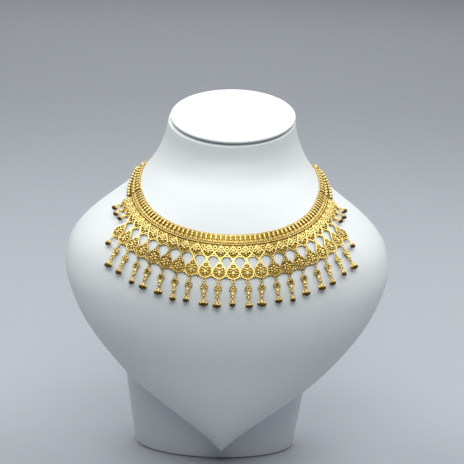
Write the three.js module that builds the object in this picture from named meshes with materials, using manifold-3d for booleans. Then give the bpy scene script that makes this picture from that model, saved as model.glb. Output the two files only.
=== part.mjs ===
// A gold bib necklace worn by a white neck bust.
// Millimetres, +Z up, the bust looks along -Y, and the origin is on the floor under the middle of its box.
import * as THREE from 'three';
import { mergeVertices } from 'three/addons/utils/BufferGeometryUtils.js';
import Module from 'manifold-3d';

const wasm = await Module();
wasm.setup();

// ---------------------------------------------------------------- driving dimensions
const GAP = 0.35; // between pieces that touch each other on the real object
const CENTRE_SHIFT = 33.61; // moves the whole model along Y, so that its box is centred on the origin

// Level sections of the bust: height, half width, y of the widest line, and how far the section
// reaches in front of that line and behind it.
const BUST_SECTIONS = [
  { z: 13.5, half: 1.5, y: -74, front: 1.5, back: 1.5 },
  { z: 20, half: 7.5, y: -73, front: 7, back: 5.5 },
  { z: 29, half: 18.5, y: -71, front: 15, back: 12 },
  { z: 47, half: 43.5, y: -65, front: 31, back: 24 },
  { z: 67, half: 70.5, y: -58, front: 46, back: 36 },
  { z: 87, half: 91, y: -50, front: 60, back: 46 },
  { z: 105, half: 106.5, y: -41, front: 74, back: 56 },
  { z: 122, half: 117.5, y: -30, front: 87, back: 66 },
  { z: 146, half: 126.3, y: -12, front: 102, back: 62 },
  { z: 160, half: 124.6, y: -2, front: 106, back: 52 },
  { z: 172, half: 117.2, y: 6, front: 106, back: 44 },
  { z: 186, half: 101.9, y: 12, front: 100.5, back: 38 },
  { z: 203, half: 79, y: 14, front: 86, back: 36 },
  { z: 212, half: 70.3, y: 12, front: 74, back: 37 },
  { z: 222, half: 61, y: 9, front: 62, back: 39 },
  { z: 234, half: 54.5, y: 5, front: 52, back: 41 },
  { z: 245, half: 50.8, y: 2, front: 45, back: 42 },
  { z: 256.5, half: 48.9, y: 0, front: 42, back: 42 },
];
const BUST_SIDES = 48;
// Above levelBelow the sections lean, to a top that falls to the front and a little to -X.
const NECK = { levelBelow: 205, tilt: 17, roll: 1 };
const CAP = { rim: 1.4, thickness: 3, roundness: 0.9, sides: 40 };
const STAND = { x: -5.6, y: -22, halfWidth: 62.8, halfDepth: 36.5, flare: 0.235, height: 100, sides: 32 };

// The inner edge of the necklace lies where this sloping plane meets the bust.
const WORN = { height: 213.4, tilt: 16.5, turn: 2.9 }; // turn: how far it has slipped round the neck
const UNITS = 27; // rosettes
const BARE_ENDS = 3; // rosettes at each end that carry a short drop and no pear
const UNIT_PITCH = 7.65; // along the inner edge
const BIB_HALF = (UNITS * UNIT_PITCH) / 2;

const BAND = { width: 8.6, base: 0.9, ribRise: 0.8, ribs: 54, railWidth: 1.1, ribEnd: 6 };
const STRAP = { length: 40, width: 8.6, thickness: 1.5, ballRadius: 1.3, ballPitch: 3.1, ballOverhang: 0.9 };
const ROSETTE = { down: 13.7, radius: 3.9, waist: 3.1, petals: 5, rise: 0.9, boss: 0.7, foot: 0.3 };
const LATTICE = { top: 9.2, notch: 18, low: 20.6, thickness: 0.8 }; // notch: between two rosettes
const PEAR = {
  top: 21, length: 13.9, halfWidth: 5, pointWidth: 0.8, thickness: 1,
  bossRadius: 2.6, bossRise: 0.6, link: 0.8,
};
const BELL = { radius: 2.4, rim: 1.8, neck: 0.9, height: 5 }; // rim: how high its widest line is
const BEAD = { radius: 1.3, up: 8.2, half: 1.2 }; // up: from the foot of the drop to its middle
const BLOSSOM = { radius: 2.6, down: 5.6, flatness: 0.4 }; // down: from the top of the drop to its middle
const DROP = { length: 19.4, shortLength: 9, endLength: 6, wire: 0.6, ringEnd: 0.8 };
const HANG = { pearSag: 0.5, dropSag: 1, swing: 3, topLift: 1.8 }; // shares of the way to the steepest fall
const DROP_SIDES = 6;
const PLATE_LIFT = 0.7; // of the flat plates, which stay straight over the curved bust
const SUNK = 0.1; // keeps the underside of a boss inside its plate
const CHAIN = { radius: 1, hookLength: 12, hookRadius: 1.8 };

// ---------------------------------------------------------------- the bust's surface
/** A smooth function through one column of a table, without overshoot between its rows. */
function smoothColumn(rows, column) {
  const x = rows.map((row) => row.z);
  const y = rows.map((row) => row[column]);
  const slope = x.slice(1).map((next, i) => (y[i + 1] - y[i]) / (next - x[i]));
  const tangent = y.map((_, i) => {
    const before = slope[Math.max(i - 1, 0)];
    const after = slope[Math.min(i, slope.length - 1)];
    return before * after <= 0 ? 0 : (2 * before * after) / (before + after);
  });
  return (at) => {
    let i = 0;
    while (i < slope.length - 1 && at > x[i + 1]) i += 1;
    const span = x[i + 1] - x[i];
    const t = (at - x[i]) / span;
    const rise = t * t * (3 - 2 * t);
    return (
      y[i] * (1 - rise) + y[i + 1] * rise +
      span * (tangent[i] * t * (1 - t) ** 2 - tangent[i + 1] * t * t * (1 - t))
    );
  };
}

const section = {
  half: smoothColumn(BUST_SECTIONS, 'half'),
  y: smoothColumn(BUST_SECTIONS, 'y'),
  front: smoothColumn(BUST_SECTIONS, 'front'),
  back: smoothColumn(BUST_SECTIONS, 'back'),
};

const slopeBack = Math.tan(THREE.MathUtils.degToRad(NECK.tilt));
const slopeAside = Math.tan(THREE.MathUtils.degToRad(NECK.roll));
const neckTop = BUST_SECTIONS[BUST_SECTIONS.length - 1].z;

/** How much higher than its section a point lies: nothing on the chest, and most at the top of the neck. */
function leanRise(x, y, z) {
  return (x * slopeAside + y * slopeBack) * THREE.MathUtils.smoothstep(z, NECK.levelBelow, neckTop);
}

/** The point of the bust in a section and at an angle; angle 0 is the front and +90 degrees is +X. */
function bustPoint(z, angle, grow = 0) {
  const depth = Math.cos(angle) > 0 ? section.front(z) : section.back(z);
  const x = (section.half(z) + grow) * Math.sin(angle);
  const y = section.y(z) - (depth + grow) * Math.cos(angle);
  return new THREE.Vector3(x, y, z + leanRise(x, y, z));
}

/** The height in the table of the section that passes through a point. */
function sectionThrough(p) {
  let z = p.z;
  for (let i = 0; i < 8; i += 1) z = p.z - leanRise(p.x, p.y, z);
  return z;
}

/** Below 0 inside the bust, 0 on its surface. */
function bustLevel(p) {
  const z = sectionThrough(p);
  const behind = p.y - section.y(z);
  const depth = behind < 0 ? section.front(z) : section.back(z);
  return (p.x / section.half(z)) ** 2 + (behind / depth) ** 2 - 1;
}

function bustGradient(p) {
  const step = 0.01;
  const slopes = ['x', 'y', 'z'].map((axis) => {
    const ahead = p.clone();
    const back = p.clone();
    ahead[axis] += step;
    back[axis] -= step;
    return (bustLevel(ahead) - bustLevel(back)) / (2 * step);
  });
  return new THREE.Vector3(...slopes);
}

const WALK_STEP = 2;

/** Walks straight ahead over the bust and gives the point and directions where the walk ends. */
function walk(start, heading, distance) {
  const point = start.clone();
  const ahead = heading.clone();
  const steps = Math.max(1, Math.ceil(distance / WALK_STEP));
  let out = bustGradient(point).normalize();
  for (let i = 0; i < steps; i += 1) {
    point.addScaledVector(ahead, distance / steps);
    for (let fit = 0; fit < 2; fit += 1) {
      const slope = bustGradient(point);
      point.addScaledVector(slope, -bustLevel(point) / slope.lengthSq());
    }
    out = bustGradient(point).normalize();
    ahead.addScaledVector(out, -ahead.dot(out)).normalize();
  }
  return { point, down: ahead, out };
}

// ---------------------------------------------------------------- the necklace's lie on the bust
const fall = Math.tan(THREE.MathUtils.degToRad(WORN.tilt));

const EDGE_SEARCH = { low: 165, high: 250 }; // heights of sections below and above the whole edge

/** The inner edge at an angle round the neck: the height is found by halving. */
function innerEdgePoint(angle) {
  let { low, high } = EDGE_SEARCH;
  for (let i = 0; i < 40; i += 1) {
    const middle = (low + high) / 2;
    const p = bustPoint(middle, angle);
    if (p.z > WORN.height + p.y * fall) high = middle;
    else low = middle;
  }
  return bustPoint(low, angle);
}

const EDGE_POINTS = 120;
const innerEdge = new THREE.CatmullRomCurve3(
  Array.from({ length: EDGE_POINTS }, (_, i) => innerEdgePoint((i / EDGE_POINTS) * 2 * Math.PI)),
  true,
);
innerEdge.arcLengthDivisions = 1200;
const EDGE_LENGTH = innerEdge.getLength();

/** The place that lies `along` the inner edge from the front middle, and `down` over the bust from it. */
function seat(along, down) {
  const share = (((along + WORN.turn) / EDGE_LENGTH) % 1 + 1) % 1;
  const start = innerEdge.getPointAt(share);
  const tangent = innerEdge.getTangentAt(share);
  const heading = tangent.clone().cross(bustGradient(start)).normalize();
  const end = walk(start, heading, down);
  return { ...end, along: end.out.clone().cross(end.down) };
}

/** Walks on from a seat, on a way that turns by a share towards the steepest fall and by a swing aside. */
function onwards(from, share, swing, distance) {
  const steepest = new THREE.Vector3(0, 0, -1);
  steepest.addScaledVector(from.out, -steepest.dot(from.out)).normalize();
  const heading = from.down.clone().lerp(steepest, share).normalize();
  const end = walk(from.point, heading.applyAxisAngle(from.out, swing), distance);
  return { ...end, along: end.out.clone().cross(end.down) };
}

const unitAlong = (unit) => (unit - (UNITS - 1) / 2) * UNIT_PITCH;

/** A place under the lattice on the line of a unit, where the pears sag from the way their row fans out. */
function pearSeat(unit, down) {
  return onwards(seat(unitAlong(unit), LATTICE.low), HANG.pearSag, 0, down - LATTICE.low);
}

/** A place on the line of a drop, `hang` below the place where it starts. */
function dropSeat(unit, down, hang) {
  const swing = THREE.MathUtils.degToRad(HANG.swing * Math.sin(2.4 * unit));
  return onwards(pearSeat(unit, down), HANG.dropSag, swing, hang);
}

// ---------------------------------------------------------------- geometry helpers
/** Moves every vertex of a geometry by a function of its place. */
function reshaped(geometry, move) {
  const position = geometry.getAttribute('position');
  const p = new THREE.Vector3();
  for (let i = 0; i < position.count; i += 1) {
    p.fromBufferAttribute(position, i);
    const moved = move(p);
    position.setXYZ(i, moved.x, moved.y, moved.z);
  }
  return geometry;
}

/** Lays a flat geometry over the bust: x runs along the necklace, y points up to the neck, z is height. */
function draped(geometry) {
  return reshaped(geometry, (p) => {
    const place = seat(p.x, -p.y);
    return place.point.clone().addScaledVector(place.out, p.z);
  });
}

/** Sets a flat geometry stiffly on a seat: x along the necklace, y up the bust, z out of it. */
function seated(geometry, place, lift) {
  const frame = new THREE.Matrix4().makeBasis(place.along, place.down.clone().negate(), place.out);
  frame.setPosition(place.point.clone().addScaledVector(place.out, lift));
  return geometry.applyMatrix4(frame);
}

function solidOf(geometry) {
  const bare = new THREE.BufferGeometry();
  bare.setAttribute('position', geometry.getAttribute('position').clone());
  if (geometry.index) bare.setIndex(geometry.index.clone());
  const merged = mergeVertices(bare, 1e-4);
  return new wasm.Manifold(
    new wasm.Mesh({
      numProp: 3,
      vertProperties: new Float32Array(merged.getAttribute('position').array),
      triVerts: new Uint32Array(merged.index.array),
    }),
  );
}

function geometryOf(solid) {
  const mesh = solid.getMesh();
  const geometry = new THREE.BufferGeometry();
  geometry.setAttribute('position', new THREE.BufferAttribute(mesh.vertProperties, 3));
  geometry.setIndex(new THREE.BufferAttribute(mesh.triVerts, 1));
  geometry.computeVertexNormals();
  return geometry;
}

/** Solders several geometries into one body. */
function joined(geometries) {
  return geometryOf(geometries.map(solidOf).reduce((whole, next) => whole.add(next)));
}

/** A flat plate with the outline of a shape, its underside at z = 0. */
function plate(outline, thickness, curveSegments = 1) {
  return new THREE.ExtrudeGeometry(outline, { depth: thickness, bevelEnabled: false, curveSegments });
}

/** A flower outline whose radius swings between its petals and its waists. */
function flowerShape(radius, waist, petals) {
  const corners = 2 * petals;
  const points = Array.from({ length: corners }, (_, i) => {
    const reach = i % 2 ? waist : radius;
    const angle = (i / corners) * 2 * Math.PI + Math.PI / 2;
    return new THREE.Vector2(reach * Math.cos(angle), reach * Math.sin(angle));
  });
  return new THREE.Shape(points);
}

// ---------------------------------------------------------------- finishes
const bustWhite = () => new THREE.MeshStandardMaterial({ color: 0xe4ebec, roughness: 0.6, metalness: 0 });
const gold = () => new THREE.MeshStandardMaterial({ color: 0xe2a92e, roughness: 0.3, metalness: 1 });

const necklaceOnBust = new THREE.Group();
necklaceOnBust.position.y = CENTRE_SHIFT;

function add(name, geometry, material) {
  const mesh = new THREE.Mesh(geometry, material);
  mesh.name = name;
  necklaceOnBust.add(mesh);
}

// ---------------------------------------------------------------- the bust
/** The bust's skin from its point to its neck, `grow` larger all round. */
function bustSkin(grow) {
  const heights = BUST_SECTIONS.flatMap(({ z }, i) => {
    const next = BUST_SECTIONS[i + 1];
    return next && z > 100 ? [z, (z + next.z) / 2] : [z];
  });
  const rings = heights.length - 1;
  const rod = new THREE.CylinderGeometry(1, 1, rings, BUST_SIDES, rings);
  return reshaped(rod, (p) => {
    const z = heights[Math.round(p.y + rings / 2)];
    const radius = Math.hypot(p.x, p.z);
    const rim = bustPoint(z, Math.atan2(p.x, p.z), grow);
    const middle = new THREE.Vector3(0, section.y(z), z + leanRise(0, section.y(z), z));
    if (z === heights[0]) middle.z = rim.z -= grow;
    return middle.lerp(rim, radius);
  });
}

function neckCap() {
  const { rim, thickness, roundness, sides } = CAP;
  const edge = section.half(neckTop);
  const profile = [
    [0, 0],
    [edge - rim - roundness, 0],
    [edge - rim, roundness],
    [edge - rim, thickness - roundness],
    [edge - rim - roundness, thickness],
    [0, thickness],
  ];
  const disc = new THREE.LatheGeometry(profile.map(([x, y]) => new THREE.Vector2(x, y)), sides);
  const squash = section.front(neckTop) / edge;
  return reshaped(disc, (p) => {
    const y = -p.z * squash;
    return new THREE.Vector3(p.x, y, neckTop + GAP + p.y + leanRise(p.x, y, neckTop));
  });
}

function bustStand() {
  const { x, y, halfWidth, halfDepth, flare, height, sides } = STAND;
  const column = new THREE.CylinderGeometry(1 + flare, 1, height, sides, 1);
  reshaped(column, (p) => new THREE.Vector3(x + p.x * halfWidth, y - p.z * halfDepth, p.y + height / 2));
  return geometryOf(solidOf(column).subtract(solidOf(bustSkin(GAP))));
}

// ---------------------------------------------------------------- the necklace
/** The band of upright ribs under a plain rail, with a smooth edge below them. */
function ribbedBand() {
  const { width, base, ribRise, ribs, railWidth, ribEnd } = BAND;
  const length = 2 * BIB_HALF;
  const strip = new THREE.BoxGeometry(length, 3, base, 2 * ribs, 3, 1);
  const lines = [0, railWidth, ribEnd, width];
  reshaped(strip, (p) => {
    const line = Math.round(1.5 - p.y);
    const rib = Math.round(((p.x + length / 2) / length) * 2 * ribs) % 2;
    const middle = line === 1 || line === 2;
    const top = base + ribRise * (middle ? rib : 0.5);
    return new THREE.Vector3(p.x, -lines[line], GAP + (p.z > 0 ? top : 0));
  });
  return draped(strip);
}

/** The strap that carries on from the band up over a shoulder, with a row of balls on its outer edge. */
function shoulderStrap(side) {
  const { length, width, thickness, ballRadius, ballPitch, ballOverhang } = STRAP;
  const start = BIB_HALF + GAP;
  const strip = new THREE.BoxGeometry(length, width, thickness, 10, 3, 1);
  strip.translate(side * (start + length / 2), -width / 2, GAP + thickness / 2);
  const balls = Math.floor(length / ballPitch);
  const row = Array.from({ length: balls }, (_, i) => {
    const place = seat(side * (start + (i + 0.5) * ballPitch), width + ballOverhang);
    return seated(new THREE.IcosahedronGeometry(ballRadius, 0), place, GAP + ballRadius);
  });
  return joined([draped(strip), ...row]);
}

/** The lattice behind the rosettes: a straight upper edge and a point under each rosette. */
function latticePlate() {
  const { top, notch, low, thickness } = LATTICE;
  const length = 2 * BIB_HALF;
  const plateStrip = new THREE.BoxGeometry(length, 1, thickness, 2 * UNITS, 1, 1);
  reshaped(plateStrip, (p) => {
    const step = Math.round(((p.x + length / 2) / length) * 2 * UNITS);
    const lowerEdge = step % 2 ? low : notch;
    return new THREE.Vector3(p.x, p.y > 0 ? -top : -lowerEdge, p.z + PLATE_LIFT + thickness / 2);
  });
  return draped(plateStrip);
}

/** A domed rosette whose rim swings between its petals and its waists. */
function rosette() {
  const { radius, waist, petals, rise, boss, foot } = ROSETTE;
  const height = LATTICE.thickness + rise;
  const bossShare = 0.4; // of the rosette's width
  const profile = [[0, foot], [1, foot], [1, height], [bossShare, height], [0, height + boss]];
  const dome = new THREE.LatheGeometry(profile.map(([x, y]) => new THREE.Vector2(x, y)), 2 * petals);
  return reshaped(dome, (p) => {
    const petal = Math.cos(petals * Math.atan2(p.x, p.z));
    const reach = (radius + waist) / 2 + ((radius - waist) / 2) * petal;
    return new THREE.Vector3(p.x * reach, -p.z * reach, p.y);
  });
}

function rosetteRow() {
  const rosettes = Array.from({ length: UNITS }, (_, unit) =>
    seated(rosette(), seat(unitAlong(unit), ROSETTE.down), PLATE_LIFT),
  );
  return joined([latticePlate(), ...rosettes]);
}

/** A pear outline with its point up. */
function pearShape(length, halfWidth, pointWidth) {
  const widest = -length + halfWidth;
  const deepest = -length - halfWidth / 2; // draws the round bottom down to the full length
  const shape = new THREE.Shape();
  shape.moveTo(0, 0);
  shape.bezierCurveTo(-pointWidth, -0.35 * length, -halfWidth, -0.4 * length, -halfWidth, widest);
  shape.bezierCurveTo(-halfWidth, deepest, halfWidth, deepest, halfWidth, widest);
  shape.bezierCurveTo(halfWidth, -0.4 * length, pointWidth, -0.35 * length, 0, 0);
  return shape;
}

/** The pears hang from all rosettes but the last few at each end, and a link joins each to the next. */
function pearRow() {
  const { top, length, halfWidth, pointWidth, thickness, bossRadius, bossRise, link } = PEAR;
  const middle = top + length / 2;
  const low = top + length - halfWidth;
  const units = Array.from({ length: UNITS - 2 * BARE_ENDS }, (_, i) => i + BARE_ENDS);
  const pears = units.flatMap((unit) => {
    const outline = plate(pearShape(length, halfWidth, pointWidth), thickness, 3).translate(0, length / 2, 0);
    const boss = plate(flowerShape(bossRadius, bossRadius * 0.75, 4), thickness + bossRise - SUNK);
    return [
      seated(outline, pearSeat(unit, middle), PLATE_LIFT),
      seated(boss, pearSeat(unit, low), PLATE_LIFT + SUNK),
    ];
  });
  const links = units.slice(1).map((unit) => {
    const opening = pearSeat(unit - 1, low).point.distanceTo(pearSeat(unit, low).point) - 2 * halfWidth;
    const bridge = new THREE.BoxGeometry(opening + 2 * link, 2 * link, thickness * 0.6);
    return seated(bridge, pearSeat(unit - 0.5, low), PLATE_LIFT + thickness / 2);
  });
  return joined([...pears, ...links]);
}

/** A turned drop with a bell below the [radius, height, flatness] rows: it lies straight on the bust. */
function turnedDrop(rows, unit, down, length) {
  const profile = [
    [0, -length],
    [BELL.radius, -length + BELL.rim],
    [BELL.neck, -length + BELL.height],
    ...rows,
    [DROP.wire, -DROP.ringEnd],
    [0, 0],
  ];
  const outline = profile.map(([radius, y]) => new THREE.Vector2(radius, y));
  const flatness = new Map(profile.map(([, y, flat = 1]) => [y.toFixed(2), flat]));
  const drop = reshaped(new THREE.LatheGeometry(outline, DROP_SIDES), (p) =>
    new THREE.Vector3(p.x, p.y, p.z * flatness.get(p.y.toFixed(2))),
  );
  const top = dropSeat(unit, down, 0);
  const bell = dropSeat(unit, down, length - BELL.rim);
  const topPoint = top.point.addScaledVector(top.out, HANG.topLift);
  const bellPoint = bell.point.addScaledVector(bell.out, GAP + BELL.radius);
  const way = bellPoint.sub(topPoint).normalize();
  const out = bell.out.addScaledVector(way, -bell.out.dot(way)).normalize();
  return seated(drop, { point: topPoint, down: way, out, along: out.clone().cross(way) }, 0);
}

/** A long drop, under its pear: a ring, a flat blossom, a waist bead and a bell. */
function longDrop(unit) {
  const { length, wire } = DROP;
  const rows = [
    [wire, -length + BEAD.up - BEAD.half],
    [BEAD.radius, -length + BEAD.up],
    [wire, -length + BEAD.up + BEAD.half],
    [BLOSSOM.radius, -BLOSSOM.down, BLOSSOM.flatness],
    [wire, -BLOSSOM.down + BLOSSOM.radius],
  ];
  return turnedDrop(rows, unit, PEAR.top + PEAR.length + GAP, length);
}

/** A short drop, only the bell: under the last pear at each end, and right under the bare rosettes. */
const shortDrop = (unit, down, length) => turnedDrop([], unit, down + GAP, length);

/** A round run laid over the bust between two places along the inner edge. */
function roundRun(from, to, down, radius, steps) {
  const points = Array.from({ length: steps + 1 }, (_, i) => {
    const place = seat(from + ((to - from) * i) / steps, down);
    return place.point.addScaledVector(place.out, GAP + radius);
  });
  const outline = new THREE.Shape().absarc(0, 0, radius, 0, 2 * Math.PI);
  return new THREE.ExtrudeGeometry(outline, {
    steps,
    curveSegments: 4,
    bevelEnabled: false,
    extrudePath: new THREE.CatmullRomCurve3(points),
  });
}

// ---------------------------------------------------------------- assembly
add('bust_form', bustSkin(0), bustWhite());
add('neck_cap', neckCap(), bustWhite());
add('bust_stand', bustStand(), bustWhite());

add('band_front', ribbedBand(), gold());
add('strap_right', shoulderStrap(1), gold());
add('strap_left', shoulderStrap(-1), gold());
add('rosette_row', rosetteRow(), gold());
add('pear_row', pearRow(), gold());
const pearEnd = PEAR.top + PEAR.length;
for (let unit = 0; unit < UNITS; unit += 1) {
  const fromEnd = Math.min(unit, UNITS - 1 - unit);
  const number = String(unit + 1).padStart(2, '0');
  if (fromEnd < BARE_ENDS) add(`short_drop_${number}`, shortDrop(unit, LATTICE.low, DROP.endLength), gold());
  else if (fromEnd === BARE_ENDS) add(`short_drop_${number}`, shortDrop(unit, pearEnd, DROP.shortLength), gold());
  else add(`drop_${number}`, longDrop(unit), gold());
}

const strapEnd = BIB_HALF + STRAP.length + 2 * GAP;
const hookStart = EDGE_LENGTH / 2 - CHAIN.hookLength / 2;
const chainDown = STRAP.width / 2;
add('chain_right', roundRun(strapEnd, hookStart - GAP, chainDown, CHAIN.radius, 14), gold());
add('chain_left', roundRun(-strapEnd, -hookStart + GAP, chainDown, CHAIN.radius, 14), gold());
add('hook_clasp', roundRun(hookStart, EDGE_LENGTH - hookStart, chainDown, CHAIN.hookRadius, 4), gold());

export default necklaceOnBust;
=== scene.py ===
"""A gold bib necklace worn by a white neck bust that stands on an oval foot.

Metres, +Z up. The bust looks along -Y and +X is at the viewer's right. Every piece is modelled at the
bench, flat or upright about the origin, and is then laid in its place on the bust's smooth surface.
"""

import logging
import math
from abc import ABC, abstractmethod
from collections.abc import Callable, Iterable, Iterator, Sequence
from contextlib import contextmanager
from dataclasses import astuple, dataclass
from enum import Enum

import bmesh
import bpy
import numpy as np
from mathutils import Matrix, Vector


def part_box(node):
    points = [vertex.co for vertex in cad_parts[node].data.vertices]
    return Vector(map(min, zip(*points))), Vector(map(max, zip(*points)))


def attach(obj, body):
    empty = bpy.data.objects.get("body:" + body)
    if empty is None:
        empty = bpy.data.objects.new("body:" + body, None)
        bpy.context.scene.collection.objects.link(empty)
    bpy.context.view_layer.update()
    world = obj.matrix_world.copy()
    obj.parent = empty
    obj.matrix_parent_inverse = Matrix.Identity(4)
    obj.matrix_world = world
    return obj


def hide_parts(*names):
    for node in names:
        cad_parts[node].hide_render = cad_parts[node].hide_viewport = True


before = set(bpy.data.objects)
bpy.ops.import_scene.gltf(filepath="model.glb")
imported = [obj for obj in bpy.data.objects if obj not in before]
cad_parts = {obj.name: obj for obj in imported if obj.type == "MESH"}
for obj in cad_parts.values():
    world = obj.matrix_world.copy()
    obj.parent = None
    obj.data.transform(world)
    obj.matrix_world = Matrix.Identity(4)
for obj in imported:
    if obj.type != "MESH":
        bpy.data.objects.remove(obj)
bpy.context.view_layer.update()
LOG = logging.getLogger("bib_necklace")
Piece = bpy.types.Object
Element = bmesh.types.BMVert | bmesh.types.BMEdge | bmesh.types.BMFace
Colour = tuple[float, float, float, float]
Inputs = dict[str | int, object]

MM = 0.001
GAP = 0.35 * MM  # between a piece of gold and the bust under it
RELIEF_SHADE = "relief"  # point attribute: 0 in the recesses of the gold and 1 on what stands out; the gold's colour paints shade where it is low
EDGE = 0.14  # the relief of the foot of a grain, where the light hardly reaches
RECESS = 0.32  # the relief of gold that lies low, painted in the deeper shade
PROUD = 0.9  # the relief of wires and rings
FADE = 1.2  # how late the painted shade on a grain gives way to its bright top, from its edge: evenly at 1
NEAR = 0.01 * MM  # two places closer than this count as one
WELD = 0.001 * MM  # vertices closer than this become one


# ---------------------------------------------------------------- the bust's surface
@dataclass(frozen=True)
class Section:
    """A level section of the bust, in millimetres: two half ellipses that meet on its widest line.

    Attributes:
        height: height over the floor.
        half: half its width.
        line: y of its widest line, before the bust is moved to its place in the frame.
        front: how far it reaches in front of that line.
        back: how far it reaches behind it.
    """

    height: float
    half: float
    line: float
    front: float
    back: float


BUST_SECTIONS = (
    Section(13.5, 1.5, -74, 1.5, 1.5),
    Section(20, 7.5, -73, 7, 5.5),
    Section(29, 18.5, -71, 15, 12),
    Section(47, 43.5, -65, 31, 24),
    Section(67, 70.5, -58, 46, 36),
    Section(87, 91, -50, 60, 46),
    Section(105, 106.5, -41, 74, 56),
    Section(122, 117.5, -30, 87, 66),
    Section(146, 126.3, -12, 102, 62),
    Section(160, 124.6, -2, 106, 52),
    Section(172, 117.2, 6, 106, 44),
    Section(186, 101.9, 12, 100.5, 38),
    Section(203, 79, 14, 86, 36),
    Section(212, 70.3, 12, 74, 37),
    Section(222, 61, 9, 62, 39),
    Section(234, 54.5, 5, 52, 41),
    Section(245, 50.8, 2, 45, 42),
    Section(256.5, 48.9, 0, 42, 42),
)


def unit(vectors: np.ndarray) -> np.ndarray:
    """Returns rows of vectors at length 1."""
    return vectors / np.linalg.norm(vectors, axis=1, keepdims=True)


@dataclass(frozen=True)
class Seats:
    """Places on the bust: a row each for the point, the way down over the bust and the way out of it."""

    point: np.ndarray
    down: np.ndarray
    out: np.ndarray

    def frames(self, lift: float = 0.0) -> list[Matrix]:
        """Gives each seat as a matrix: x along the necklace, y up to the neck and z out of the bust.

        Args:
            lift: distance from the bust to the matrix's origin.

        Returns:
            One matrix for each seat.
        """
        along = np.cross(self.out, self.down)
        origin = self.point + self.out * lift
        columns = (along, -self.down, self.out, origin)
        return [frame_of(*(Vector(column[i]) for column in columns)) for i in range(len(origin))]


def frame_of(x: Vector, y: Vector, z: Vector, origin: Vector) -> Matrix:
    """Returns the matrix with these axes and origin."""
    turned = Matrix((x, y, z)).transposed().to_4x4()
    return Matrix.Translation(origin) @ turned


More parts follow.
